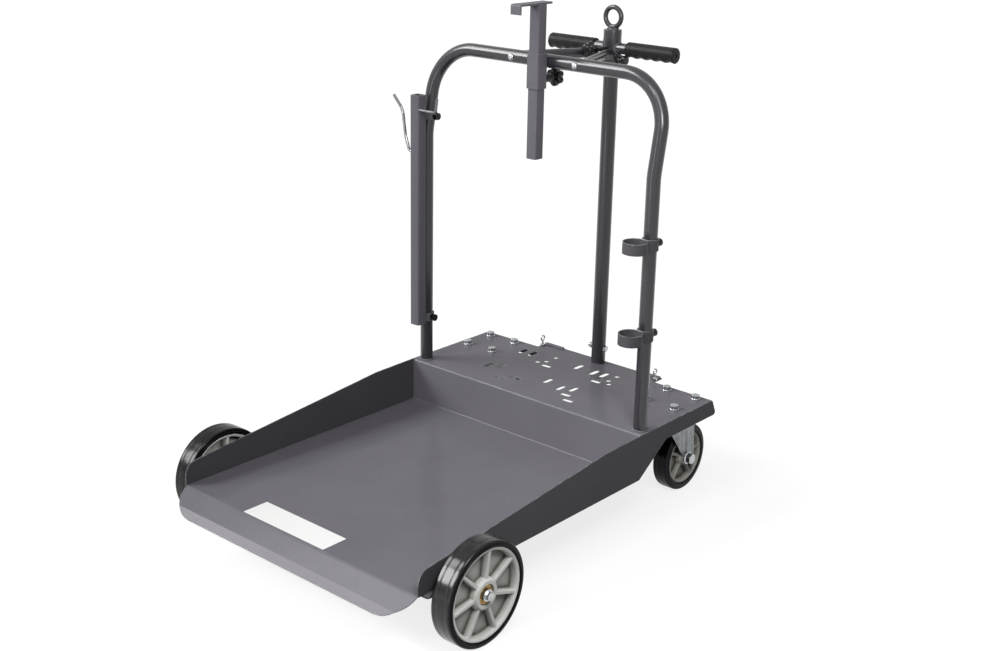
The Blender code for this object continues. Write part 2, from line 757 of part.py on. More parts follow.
def wheel_rim(wheel, hole, centre):
    """A moulded wheel centre: rim ring, hub and web, with pockets between ribs on both faces."""
    half = wheel.width / 2 - wheel.rim_inset
    hub = wheel.hub_width / 2
    hub_foot = wheel.hub_radius + max(0, hub - half) + WELD
    half_profile = [(hole, hub), (wheel.hub_radius, hub), (hub_foot, half), (wheel.rim_radius, half)]
    profile = half_profile + [(radius, -along) for radius, along in reversed(half_profile)]
    shape = turned(profile, centre, LARGE)
    pockets = []
    for i in range(wheel.ribs):
        middle = 2 * pi * i / wheel.ribs + pi / 2
        points = pocket_outline(hub_foot + WELD, wheel.rim_radius - wheel.rim_wall, pi / wheel.ribs,
                                wheel.rib / 2, middle)
        pockets.append(prism(points, wheel.web / 2, hub + OVERCUT, "X", centre))
        pockets.append(prism(points, -wheel.web / 2, -hub - OVERCUT, "X", centre))
    return cut(shape, *pockets)


def pocket_outline(near, far, half_angle, half_rib, middle, steps=2):
    """A sector between two radii, held back from the ribs beside it by half a rib's width."""
    points = []
    for radius, turn in ((near, 1), (far, -1)):
        reach = half_angle - half_rib / radius
        for i in range(steps + 1):
            angle = middle + turn * reach * (1 - 2 * i / steps)
            points.append((radius * cos(angle), radius * sin(angle)))
    return points


def tyre(wheel, centre):
    """A solid rubber tyre with a crowned tread and a step on each side wall."""
    half = wheel.width / 2
    inner = wheel.rim_radius + SEAT
    bead = inner + TYRE_BEAD
    outer_half = [
        (inner, half),
        (bead, half),
        (bead + TYRE_STEP_RUN, half - TYRE_STEP),
        (wheel.radius - TYRE_SHOULDER, half - TYRE_SHOULDER_INSET),
        (wheel.radius, half - TYRE_CROWN_INSET),
    ]
    profile = outer_half + [(radius, -along) for radius, along in reversed(outer_half)]
    return turned(profile, centre, LARGE)


def front_wheel(side, label, carrier):
    """One fixed wheel: rim, tyre, bearing and the bolt that keeps it on the axle."""
    centre = (side * WHEEL_X, -WHEEL_SETBACK, WHEEL_RADIUS)
    rim_hole = (BEARING_RADIUS + SEAT) / cos(pi / LARGE)
    add("front_rim_" + label, wheel_rim(FRONT_WHEEL, rim_hole, centre), "rim", carrier, centre)
    add("front_tyre_" + label, tyre(FRONT_WHEEL, centre), "rubber", carrier, centre)
    half = BEARING_WIDTH / 2
    hole = (AXLE_RADIUS + SEAT) / cos(pi / ROUND)
    near = hole + BEARING_RACE
    far = BEARING_RADIUS - BEARING_RACE
    cage = half - BEARING_STEP
    profile = [(hole, half), (near, half), (near, cage), (far, cage), (far, half), (BEARING_RADIUS, half),
               (BEARING_RADIUS, -half), (hole, -half)]
    bearing = turned([(radius, side * along) for radius, along in profile], centre, ROUND)
    add("front_bearing_" + label, bearing, "brass", carrier, centre)
    seat = WHEEL_X + WHEEL_WIDTH / 2 - AXLE_WASHER + SEAT
    washer = circle(AXLE_WASHER_RADIUS, SMALL)
    shank = circle(AXLE_BOLT_RADIUS, SMALL)
    head = hexagon(AXLE_BOLT_FLATS)
    tip = seat - AXLE_BOLT_LENGTH
    under = seat + AXLE_WASHER
    sections = [(shank, tip), (shank, seat), (washer, seat), (washer, under), (head, under),
                (head, under + AXLE_BOLT_HEAD)]
    bolt = stack([(outline, side * along) for outline, along in sections], "X", (0, centre[1], centre[2]))
    add("axle_bolt_" + label, bolt, "zinc", carrier)


def kingpin_x(label):
    """Where a caster's kingpin stands along X: the two casters are not set in by the same amount."""
    return SIDES[label] * (TRAY_WIDTH / 2 - KINGPIN_INSETS[label])


def caster_bolts(label):
    """The four places of a caster plate's bolts."""
    return [(kingpin_x(label) + u * CASTER_BOLT_X, KINGPIN_Y + v * CASTER_BOLT_Y)
            for u in (-1, 1) for v in (-1, 1)]


def caster(label, carrier):
    """One swivel caster: top plate with bolts, kingpin, fork, wheel and axle."""
    x = kingpin_x(label)
    plate_top = DECK_UNDER - SEAT
    plate_bottom = plate_top - CASTER_PLATE
    outline = rectangle(CASTER_PLATE_WIDTH, CASTER_PLATE_LENGTH, CASTER_PLATE_CORNER)
    plate = prism(outline, plate_bottom, plate_top, "Z", (x, KINGPIN_Y, 0))
    hole = drill(KINGPIN_RADIUS + SEAT, plate_bottom - OVERCUT, plate_top + OVERCUT, "Z", (x, KINGPIN_Y, 0))
    plate = cut(plate, hole)
    seat = DECK_HEIGHT + SEAT
    shank = circle(CASTER_BOLT_RADIUS, 6)
    head = bore(CASTER_BOLT_FLATS / 2, 6)
    sections = [(shank, plate_bottom - WELD), (shank, seat), (head, seat), (head, seat + CASTER_BOLT_HEAD)]
    bolts = [stack(sections, "Z", (u, v, 0)) for u, v in caster_bolts(label)]
    add("caster_plate_" + label, join(plate, gather(bolts)), "zinc", carrier)

    pivot = (x, KINGPIN_Y, 0)
    crown_low = 2 * CASTER_RADIUS + FORK_CROWN_GAP
    pin = circle(KINGPIN_RADIUS)
    pin_head = circle(KINGPIN_HEAD_RADIUS)
    head_top = crown_low - SEAT
    sections = [(pin_head, head_top - KINGPIN_HEAD), (pin_head, head_top), (pin, head_top), (pin, plate_top)]
    add("caster_kingpin_" + label, stack(sections, "Z", pivot), "zinc", carrier, pivot)
    add("caster_fork_" + label, fork(pivot, crown_low, plate_bottom - SEAT), "zinc", carrier, pivot)

    centre = (x, CASTER_AXLE_Y, CASTER_RADIUS)
    rim_hole = (CASTER_AXLE_RADIUS + SEAT) / cos(pi / LARGE)
    add("caster_rim_" + label, wheel_rim(CASTER_WHEEL, rim_hole, centre), "rim", carrier, centre)
    add("caster_tyre_" + label, tyre(CASTER_WHEEL, centre), "rubber", carrier, centre)
    bolt = circle(CASTER_AXLE_RADIUS, SMALL)
    flange = circle(CASTER_FLANGE_RADIUS, SMALL)
    nut = hexagon(CASTER_NUT_FLATS)
    face = CASTER_HUB_WIDTH / 2 + 2 * SEAT + FORK_SHEET
    under = face + CASTER_FLANGE
    half = [(bolt, face), (flange, face), (flange, under), (nut, under), (nut, under + CASTER_NUT_HEIGHT)]
    sections = [(outline, -along) for outline, along in reversed(half)] + half
    add("caster_axle_" + label, stack(sections, "X", centre), "zinc", carrier, centre)


def fork(pivot, crown_low, head_top):
    """A pressed fork: swivel head, crown plate and two legs that lead back to the axle."""
    inner = CASTER_HUB_WIDTH / 2 + SEAT
    outer = inner + FORK_SHEET
    crown_top = crown_low + FORK_CROWN
    foot = CASTER_RADIUS - FORK_FOOT_DROP
    corners = [
        (-FORK_FRONT, crown_low + WELD),
        (CASTER_TRAIL - FORK_TOE, foot),
        (CASTER_TRAIL + FORK_HEEL, foot),
        (FORK_REAR, crown_low + WELD),
    ]
    leg = rounded_outline(corners, [0, FORK_FOOT_ROUND, FORK_FOOT_ROUND, 0], 3)
    legs = [prism(leg, low, low + FORK_SHEET, "X", pivot) for low in (-outer, inner)]
    length = FORK_FRONT + FORK_REAR + 2 * WELD
    middle = (FORK_REAR - FORK_FRONT) / 2
    plate = rectangle(2 * outer + 2 * WELD, length, FORK_PLATE_CORNER)
    shape = prism(plate, crown_low, crown_top, "Z", (pivot[0], pivot[1] + middle, 0))
    drum = circle(FORK_HEAD_RADIUS)
    neck = circle(FORK_HEAD_RADIUS - FORK_HEAD_TAPER)
    head = [(neck, crown_low + WELD), (drum, crown_top + WELD), (drum, head_top - FORK_HEAD_BEVEL),
            (neck, head_top)]
    shape = join(shape, stack(head, "Z", pivot), gather(legs))
    king = drill(KINGPIN_RADIUS + SEAT, crown_low - OVERCUT, head_top + OVERCUT, "Z", pivot)
    axle = drill(CASTER_AXLE_RADIUS + SEAT, -outer - OVERCUT, outer + OVERCUT, "X",
                 (pivot[0], pivot[1] + CASTER_TRAIL, CASTER_RADIUS), SMALL)
    return cut(shape, king, axle)


def hoop(carrier):
    """The bent frame tube: two legs that lean back above a kink, and the bar between them."""
    low = DECK_HEIGHT + SEAT
    corners = [(-LEG_X, LEG_SETBACK, low), (-LEG_X, LEG_SETBACK, KINK_HEIGHT), (-LEG_X, BAR_Y, HOOP_TOP),
               (LEG_X, BAR_Y, HOOP_TOP), (LEG_X, LEG_SETBACK, KINK_HEIGHT), (LEG_X, LEG_SETBACK, low)]
    radii = [HOOP_KINK_BEND, HOOP_BEND, HOOP_BEND, HOOP_KINK_BEND]
    shape = bent_tube(rounded_path(corners, radii, [2, 6, 6, 2]), HOOP_RADIUS, TUBE_WALL)
    reach = HOOP_RADIUS + OVERCUT
    holes = [drill(BRACE_BOLT_RADIUS + BOLT_GAP, BAR_Y - reach, BAR_Y + reach, "Y",
                   (side * BRACE_SPREAD, 0, HOOP_TOP), SMALL) for side in SIDES.values()]
    add("hoop", cut(shape, *holes), "paint", carrier)


def cross_hole(radius, height, reach):
    """A tool along X for a bolt hole through the mast."""
    return drill(radius, -reach, reach, "X", (0, MAST_Y, height), SMALL)


def mast(carrier):
    """The handle mast on its spigot, with the cross bolt and nut at its foot."""
    low = DECK_HEIGHT + SEAT
    bolt_height = DECK_HEIGHT + MAST_BOLT_RISE
    axis = (0, MAST_Y, 0)
    reach = MAST_RADIUS + OVERCUT
    foot_hole = MAST_BOLT_RADIUS + BOLT_GAP
    inside = MAST_RADIUS - TUBE_WALL
    top = SOCKET_TOP - SOCKET_CAP - SEAT
    tube = pipe(circle(MAST_RADIUS), circle(inside), low, top, "Z", axis)
    clamp_hole = cross_hole(BRACE_PIN_RADIUS + BOLT_GAP, CLAMP_HEIGHT, reach)
    tube = cut(tube, cross_hole(foot_hole, bolt_height, reach), clamp_hole)
    add("mast", tube, "paint", carrier)
    spigot_outer = inside - SEAT
    spigot = pipe(circle(spigot_outer), circle(spigot_outer - TUBE_WALL), low, low + SPIGOT_LENGTH, "Z", axis)
    add("mast_spigot", cut(spigot, cross_hole(foot_hole, bolt_height, reach)), "paint", carrier)
    shank = circle(MAST_BOLT_RADIUS, SMALL)
    head = hexagon(MAST_BOLT_FLATS)
    seat = MAST_RADIUS + SEAT
    tail = seat + MAST_NUT_HEIGHT + MAST_BOLT_TAIL
    sections = [(shank, -tail), (shank, seat), (head, seat), (head, seat + MAST_BOLT_HEAD)]
    add("mast_bolt", stack(sections, "X", (0, MAST_Y, bolt_height)), "zinc", carrier)
    hole = bore(MAST_BOLT_RADIUS + SEAT, SMALL)
    nut = pipe(head, hole, -seat - MAST_NUT_HEIGHT, -seat, "X", (0, MAST_Y, bolt_height))
    add("mast_nut", nut, "zinc", carrier)


def handle(carrier):
    """The socket on the mast's top with the cross bar, its grips and the lifting eye."""
    low = SOCKET_TOP - SOCKET_LENGTH
    axis = (0, MAST_Y, 0)
    shape = rod(SOCKET_RADIUS, low, SOCKET_TOP, "Z", axis)
    shape = join(shape, rod(TEE_RADIUS, -TEE_REACH, TEE_REACH, "X", (0, MAST_Y, TEE_HEIGHT)))
    shape = cut(shape, drill(MAST_RADIUS + SEAT, low - OVERCUT, SOCKET_TOP - SOCKET_CAP, "Z", axis))
    pin_hole = cross_hole(BRACE_PIN_RADIUS + BOLT_GAP, CLAMP_HEIGHT, SOCKET_RADIUS + OVERCUT)
    stud_hole = drill(STUD_RADIUS + BOLT_GAP, MAST_Y - SOCKET_RADIUS - OVERCUT, MAST_Y, "Y",
                      (0, 0, TEE_HEIGHT), SMALL)
    add("handle_tee", cut(shape, pin_hole, stud_hole), "paint", carrier)
    for label, side in SIDES.items():
        add("grip_" + label, grip(side), "rubber", carrier)
    base = SOCKET_TOP + SEAT
    centre = base + EYE_FOOT + EYE_RING_RADIUS
    ring = hoop_ring(EYE_RING_RADIUS, EYE_BAR_RADIUS, (0, MAST_Y, centre), "XZ")
    foot = rod(EYE_FOOT_RADIUS, base, base + EYE_FOOT + EYE_BAR_RADIUS / 2, "Z", axis)
    hole = rod(EYE_RING_RADIUS - EYE_BAR_RADIUS, MAST_Y - EYE_FOOT_RADIUS, MAST_Y + EYE_FOOT_RADIUS, "Y",
               (0, 0, centre))
    add("lifting_eye", join(cut(foot, hole), ring), "paint", carrier)


def grip(side):
    """A rubber sleeve with finger ridges along its underside."""
    stations = 3 * GRIP_FINGERS + 1
    count = SMALL
    outer = []
    for i in range(stations):
        share = i / (stations - 1)
        along = side * (GRIP_START + (GRIP_END - GRIP_START) * share)
        wave = (1 + cos(2 * pi * GRIP_FINGERS * share)) / 2
        end_round = 1 - GRIP_CHAMFER / GRIP_RADIUS if i in (0, stations - 1) else 1
        ring = []
        for u, v in circle(GRIP_RADIUS, count):
            under = max(0.0, -v / GRIP_RADIUS)
            reach = end_round * (1 + under * (wave - 0.5) * GRIP_RIDGE / GRIP_RADIUS)
            ring.append(Vector((along, MAST_Y + u * reach, TEE_HEIGHT + v * reach)))
        outer.append(ring)
    hole = bore(TEE_RADIUS + SEAT, count)
    inner = [ring_at(hole, side * along, "X", (0, MAST_Y, TEE_HEIGHT)) for along in (GRIP_END, GRIP_START)]
    return loft(outer + inner, joined=True)


def knob_sections(neck, start):
    """A star knob's sections from the tip of its stud to the middle of its face."""
    edge = star(KNOB_RADIUS - WELD, KNOB_LOBE_DEPTH)
    rim = star(KNOB_RADIUS, KNOB_LOBE_DEPTH)
    boss = circle(KNOB_NECK_RADIUS, KNOB_POINTS)
    face = neck + KNOB_THICKNESS
    return [
        (circle(STUD_RADIUS, KNOB_POINTS), start),
        (circle(STUD_RADIUS, KNOB_POINTS), 0),
        (circle(KNOB_ROOT_RADIUS, KNOB_POINTS), 0),
        (boss, neck),
        (edge, neck),
        (rim, neck + KNOB_EDGE),
        (rim, face - KNOB_EDGE),
        (edge, face),
        (boss, face),
        (circle(KNOB_NECK_RADIUS - WELD, KNOB_POINTS), face + WELD),
    ]


def handle_knob(carrier):
    """The star knob in front of the socket, between the brace arms, whose stud clamps the mast."""
    root = MAST_Y - SOCKET_RADIUS - HANDLE_STUD_REACH
    sections = knob_sections(HANDLE_KNOB_NECK, -HANDLE_STUD_REACH - SOCKET_WALL)
    knob = stack([(outline, root - along) for outline, along in sections], "Y", (0, 0, TEE_HEIGHT))
    add("handle_knob", knob, "black_plastic", carrier, (0, root, TEE_HEIGHT))


def brace_pin(carrier):
    """The bolt through both brace arms, the socket and the mast, with a capped nut on its right end."""
    face = BRACE_END_X + BRACE_END_THICKNESS / 2 + SEAT
    cap = face + BRACE_WASHER
    end = cap + BRACE_CAP_LENGTH
    shank = circle(BRACE_PIN_RADIUS, SMALL)
    head = hexagon(BRACE_PIN_FLATS)
    washer = circle(BRACE_WASHER_RADIUS, SMALL)
    body = circle(BRACE_CAP_RADIUS, SMALL)
    sections = [(head, -face - BRACE_PIN_HEAD), (head, -face), (shank, -face), (shank, face), (washer, face),
                (washer, cap), (body, cap), (body, end - WELD), (circle(BRACE_CAP_RADIUS - WELD, SMALL), end)]
    add("brace_pin", stack(sections, "X", (0, MAST_Y, CLAMP_HEIGHT)), "black_plastic", carrier)


def brace_arm(side, label, carrier):
    """A tube from the hoop's bar to the socket, flattened where it passes the socket and takes the pin."""
    x = side * BRACE_END_X
    start_y = BAR_Y + HOOP_RADIUS + SEAT
    tip_y = MAST_Y + BRACE_END_HEIGHT / 2
    level_y = MAST_Y - TEE_RADIUS - BRACE_END_LEAD
    corners = [(side * BRACE_SPREAD, start_y, HOOP_TOP),
               (x, BRACE_FLAT_Y - BRACE_BEND, BRACE_FLAT_HEIGHT),
               (x, BRACE_FLAT_Y + BRACE_END_LEAD, BRACE_FLAT_HEIGHT),
               (x, level_y, CLAMP_HEIGHT), (x, tip_y, CLAMP_HEIGHT)]
    bend = rounded_path(corners, [BRACE_BEND, BRACE_END_LEAD, BRACE_END_LEAD], 2)
    half = BRACE_END_HEIGHT / 2
    tip = [Vector((x, tip_y - half * (1 - sin(pi / 10 * i)), CLAMP_HEIGHT)) for i in range(5)]
    taper_start = bend[1].lerp(bend[0], BRACE_TAPER / (bend[1] - bend[0]).length)
    points = [bend[0], taper_start] + bend[1:-1] + tip
    rings = []
    for i, point in enumerate(points):
        ahead = (points[min(i + 1, len(points) - 1)] - points[max(i - 1, 0)]).normalized()
        if i == 0:
            ahead = Vector((0, 1, 0))
        across = Vector((ahead.y, -ahead.x, 0)).normalized()
        half_thick, half_high = brace_section(point, taper_start.y, BRACE_FLAT_Y - BRACE_BEND / 2, tip_y)
        ring = []
        for u, v in circle(1, SMALL):
            ring.append(point + across * u * half_thick + Vector((0, 0, v * half_high)))
        rings.append(ring)
    shape = loft(rings)
    bolt_hole = drill(BRACE_BOLT_RADIUS + BOLT_GAP, start_y - OVERCUT, start_y + BRACE_BOLT_REACH, "Y",
                      (side * BRACE_SPREAD, 0, HOOP_TOP), SMALL)
    reach = BRACE_END_X + BRACE_TAPER
    pin_hole = cross_hole(BRACE_PIN_RADIUS + BOLT_GAP, CLAMP_HEIGHT, reach)
    add("brace_arm_" + label, cut(shape, bolt_hole, pin_hole), "paint", carrier)


def brace_section(point, taper_y, flat_y, tip_y):
    """Half the thickness and half the height of a brace arm where it passes a point."""
    share = (point.y - taper_y) / (flat_y - taper_y)
    share = min(1, max(0, share))
    ease = share * share * (3 - 2 * share)
    thick = BRACE_RADIUS + (BRACE_END_THICKNESS / 2 - BRACE_RADIUS) * ease
    high = BRACE_RADIUS + (BRACE_END_HEIGHT / 2 - BRACE_RADIUS) * ease
    from_tip = tip_y - point.y
    if from_tip < high:
        high = sqrt(high * high - (high - from_tip) ** 2)
    return thick, high


def brace_bolt(side, label, carrier):
    """A dome-headed bolt through the hoop's bar into a brace arm."""
    seat = BAR_Y - HOOP_RADIUS - SEAT
    tip = BAR_Y + HOOP_RADIUS + SEAT + BRACE_BOLT_REACH - SEAT
    dome = []
    for i in range(1, 5):
        angle = pi / 2 * i / 4
        dome.append((circle(BRACE_BOLT_HEAD_RADIUS * sin(angle), SMALL), seat - BRACE_BOLT_HEAD * cos(angle)))
    shank = circle(BRACE_BOLT_RADIUS, SMALL)
    shape = stack(dome + [(shank, seat), (shank, tip)], "Y", (side * BRACE_SPREAD, 0, HOOP_TOP))
    add("brace_bolt_" + label, shape, "zinc", carrier)


def drum_hook(carrier):
    """The square sleeve on the bar, the tube that slides in it, its hook plate and the clamp knob."""
    axis = (0, SLEEVE_Y, 0)
    passage = HOOK_TUBE_SIZE + 2 * SLIDE_GAP
    outer = rectangle(SLEEVE_SIZE, SLEEVE_SIZE, SQUARE_CORNER)
    inner = rectangle(passage, passage, SQUARE_CORNER - SLIDE_GAP)
    sleeve = pipe(outer, inner, SLEEVE_BOTTOM, SLEEVE_TOP, "Z", axis)
    knob_height = HOOP_TOP - HOOK_KNOB_DROP
    rear = SLEEVE_Y + SLEEVE_SIZE / 2
    hole = drill(STUD_RADIUS + BOLT_GAP, SLEEVE_Y, rear + OVERCUT, "Y", (0, 0, knob_height), SMALL)
    add("hook_sleeve", cut(sleeve, hole), "paint", carrier)
    outline = rectangle(HOOK_TUBE_SIZE, HOOK_TUBE_SIZE, SQUARE_CORNER)
    inside = HOOK_TUBE_SIZE - 2 * TUBE_WALL
    tube = pipe(outline, rectangle(inside, inside, SQUARE_CORNER - TUBE_WALL / 2),
                HOOK_TUBE_TOP - HOOK_TUBE_LENGTH, HOOK_TUBE_TOP, "Z", axis)
    add("hook_tube", tube, "paint", carrier, (0, SLEEVE_Y, HOOK_TUBE_TOP))
    low = HOOK_TUBE_TOP + SEAT
    top = low + HOOK_PLATE
    front = SLEEVE_Y - HOOK_PLATE_FRONT
    corners = [(front, low - HOOK_LIP_DROP), (front, top), (SLEEVE_Y + HOOK_PLATE_REAR, top),
               (SLEEVE_Y + HOOK_PLATE_REAR, low), (front + HOOK_PLATE, low),
               (front + HOOK_PLATE, low - HOOK_LIP_DROP)]
    profile = rounded_outline(corners, [0, HOOK_PLATE_BEND, 0, 0, HOOK_PLATE_INNER_BEND, 0])
    half = HOOK_TUBE_SIZE / 2
    add("hook_plate", prism(profile, -half, half, "X"), "paint", carrier, (0, SLEEVE_Y, HOOK_TUBE_TOP))
    seat = rear + SEAT
    sections = knob_sections(HOOK_KNOB_NECK, -SLEEVE_WALL - SEAT)
    knob = stack([(outline, seat + along) for outline, along in sections], "Y", (0, 0, knob_height))
    add("hook_knob", knob, "black_plastic", carrier, (0, seat, knob_height))


def leg_y(height):
    """Where the leg's axis lies along Y at a height."""
    return LEG_SETBACK + tan(HOOP_LEAN) * max(0, height - KINK_HEIGHT)


def tilt(shape, height, x):
    """Lean a collar with the leg where it sits above the kink."""
    angle = HOOP_LEAN if height > KINK_HEIGHT else 0
    turn = Matrix.Rotation(-angle, 3, "X")
    bmesh.ops.rotate(shape, verts=shape.verts, cent=(x, leg_y(height), height), matrix=turn)
    return shape


def screw(start, along, x, y, height, angle):
    """A small cap screw that points out from a leg, its direction turned about Z from +X."""
    tip = circle(SCREW_RADIUS, SMALL)
    head = circle(SCREW_HEAD_RADIUS, SMALL)
    shape = stack([(tip, start), (tip, along), (head, along), (head, along + SCREW_HEAD)], "X")
    bmesh.ops.rotate(shape, verts=shape.verts, cent=(0, 0, 0), matrix=Matrix.Rotation(angle, 3, "Z"))
    bmesh.ops.translate(shape, verts=shape.verts, vec=(x, y, height))
    return shape


def collar_hole(x, y, height, angle):
    """A tool for the screw's hole in a collar's wall."""
    shape = drill(SCREW_RADIUS + SEAT, HOOP_RADIUS - OVERCUT, COLLAR_RADIUS + OVERCUT, "X", count=SMALL)
    bmesh.ops.rotate(shape, verts=shape.verts, cent=(0, 0, 0), matrix=Matrix.Rotation(angle, 3, "Z"))
    bmesh.ops.translate(shape, verts=shape.verts, vec=(x, y, height))
    return shape


def leg_screw(name, x, height, angle, carrier, pivot=(0, 0, 0)):
    """A collar's clamp screw, its tip just clear of the leg."""
    shape = screw(HOOP_RADIUS + SEAT, COLLAR_RADIUS + SEAT, x, leg_y(height), height, angle)
    add(name, shape, "black_plastic", carrier, pivot)


def holder(carrier):
    """The square holder tube in front of the left leg, its two collars and its two hooks."""
    wall = 2 * TUBE_WALL
    outer = rectangle(HOLDER_SIZE, HOLDER_SIZE, SQUARE_CORNER)
    inner = rectangle(HOLDER_SIZE - wall, HOLDER_SIZE - wall, SQUARE_CORNER - TUBE_WALL / 2)
    tube = pipe(outer, inner, HOLDER_BOTTOM, HOLDER_TOP, "Z", (HOLDER_X, HOLDER_Y, 0))
    add("holder_tube", tube, "paint", carrier)
    face = HOLDER_Y + HOLDER_SIZE / 2 + SEAT
    for label, height in (("upper", UPPER_COLLAR_HEIGHT), ("lower", LOWER_COLLAR_HEIGHT)):
        y = leg_y(height)
        low = height - COLLAR_HEIGHT / 2
        high = height + COLLAR_HEIGHT / 2
        leg = (-LEG_X, y, 0)
        collar = pipe(circle(COLLAR_RADIUS), bore(HOOP_RADIUS + SEAT), low, high, "Z", leg)
        collar = tilt(collar, height, -LEG_X)
        if y - COLLAR_RADIUS > face + WELD:
            half = COLLAR_BLOCK_WIDTH / 2
            block = box((-LEG_X - half, face, low + WELD), (-LEG_X + half, y - HOOP_RADIUS, high - WELD))
            hole = drill(HOOP_RADIUS + SEAT, low - OVERCUT, high + OVERCUT, "Z", leg)
            block = cut(block, tilt(hole, height, -LEG_X))
            collar = join(collar, block)
        collar = cut(collar, collar_hole(-LEG_X, y, height, 0))
        add("holder_collar_" + label, collar, "paint", carrier)
        leg_screw("holder_screw_" + label, -LEG_X, height, 0, carrier)
    rod_hook(carrier)
    wire_hook(carrier)


def rod_hook(carrier):
    """A bent rod on the holder tube's inner face, turned up at its end."""
    x = HOLDER_X + HOLDER_SIZE / 2 + SEAT
    y = HOLDER_Y - ROD_HOOK_SETBACK
    low = ROD_HOOK_HEIGHT - ROD_HOOK_DROP
    corners = [(x, y, low), (x + ROD_HOOK_REACH - ROD_HOOK_DROP, y, low),
               (x + ROD_HOOK_REACH, y, low + ROD_HOOK_RISE)]
    path = rounded_path(corners, [ROD_HOOK_BEND], 5)
    add("rod_hook", bent_bar(path, ROD_HOOK_RADIUS), "paint", carrier)


def wire_hook(carrier):
    """A bright wire hook on the holder tube's outer face, bent up and out."""
    x = HOLDER_X - HOLDER_SIZE / 2 - SEAT
    corners = [(x, HOLDER_Y, WIRE_HOOK_HEIGHT)]
    corners += [(x - reach, HOLDER_Y, WIRE_HOOK_HEIGHT + rise) for reach, rise in WIRE_HOOK_CORNERS]
    path = rounded_path(corners, [WIRE_HOOK_BEND] * (len(corners) - 2), 3)
    add("wire_hook", bent_bar(path, WIRE_HOOK_RADIUS), "zinc", carrier)


def ring_holder(label, carrier):
    """A clamp collar on the right leg with an open ring in front of it."""
    height = RING_HEIGHTS[label]
    low = height - RING_HEIGHT / 2
    high = height + RING_HEIGHT / 2
    reach = COLLAR_RADIUS + RING_RADIUS - RING_WALL
    x = LEG_X + sin(RING_TURN) * reach
    y = LEG_SETBACK - cos(RING_TURN) * reach
    collar = pipe(circle(COLLAR_RADIUS), bore(HOOP_RADIUS + SEAT), low, high, "Z", (LEG_X, LEG_SETBACK, 0))
    ring = pipe(circle(RING_RADIUS, LARGE), circle(RING_RADIUS - RING_WALL, LARGE),
                low + RING_INSET, high - RING_INSET, "Z", (x, y, 0))
    trim = drill(HOOP_RADIUS + SEAT, low - OVERCUT, high + OVERCUT, "Z", (LEG_X, LEG_SETBACK, 0))
    shape = cut(join(collar, ring), trim)
    angle = pi / 2 + RING_TURN
    pivot = (LEG_X, LEG_SETBACK, height)
    shape = cut(shape, collar_hole(LEG_X, LEG_SETBACK, height, angle))
    add("ring_holder_" + label, shape, "paint", carrier, pivot)
    leg_screw("ring_screw_" + label, LEG_X, height, angle, carrier, pivot)


def chain_eye(side, label, carrier):
    """An eye bolt with its nut on the tongue, and the flat lug beside it."""
    x = side * CHAIN_EYE_X
    base = DECK_HEIGHT + SEAT
    nut = hexagon(CHAIN_NUT_FLATS)
    stem = circle(CHAIN_EYE_WIRE, SMALL)
    centre = DECK_HEIGHT + CHAIN_EYE_RISE
    neck = centre - CHAIN_EYE_RING
    sections = [(stem, DECK_UNDER - WELD), (stem, base), (nut, base), (nut, base + CHAIN_NUT_HEIGHT),
                (stem, base + CHAIN_NUT_HEIGHT), (stem, neck)]
    shape = stack(sections, "Z", (x, EYE_Y, 0))
    ring = hoop_ring(CHAIN_EYE_RING, CHAIN_EYE_WIRE, (x, EYE_Y, centre), "YZ", 12, 6)
    add("chain_eye_" + label, join(shape, ring), "zinc", carrier)
    outer = TONGUE_WIDTH / 2 - LUG_INSET
    rear = DECK_DEPTH + TONGUE_REACH - SEAT
    outline = rectangle(LUG_LENGTH, LUG_WIDTH, LUG_THICKNESS)
    middle = (side * (outer - LUG_LENGTH / 2), rear - LUG_WIDTH / 2, 0)
    add("eye_lug_" + label, prism(outline, base, base + LUG_THICKNESS, "Z", middle), "paint", carrier)


def build():
    """Clear the scene and build every piece of the trolley."""
    for thing in list(bpy.data.objects):
        bpy.data.objects.remove(thing)
    carrier = bpy.data.objects.new("trolley", None)
    carrier.location = (0, -CENTRE_Y, 0)
    bpy.context.scene.collection.objects.link(carrier)
    tray_sheet(carrier)
    front_axle(carrier)
    for label, side in SIDES.items():
        side_wall(side, "side_wall_" + label, carrier)
        axle_bracket(side, "axle_bracket_" + label, carrier)
        front_wheel(side, label, carrier)
        caster(label, carrier)
        brace_arm(side, label, carrier)
        brace_bolt(side, label, carrier)
        chain_eye(side, label, carrier)
    hoop(carrier)
    mast(carrier)
    handle(carrier)
    handle_knob(carrier)
    brace_pin(carrier)
    drum_hook(carrier)
    holder(carrier)
    for label in RING_HEIGHTS:
        ring_holder(label, carrier)


build()
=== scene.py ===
"""Drum trolley: surfaces, finishes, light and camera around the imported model.

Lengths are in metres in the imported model's frame: +X points to the right of someone who stands in front of
the lip, +Y from the lip towards the handle, +Z up, and the trolley stands on z = 0.
"""
from __future__ import annotations

import json
import logging
import math
from dataclasses import dataclass, field
from enum import Enum
from typing import Any, Sequence

import bpy
import numpy as np
from mathutils import Matrix, Vector

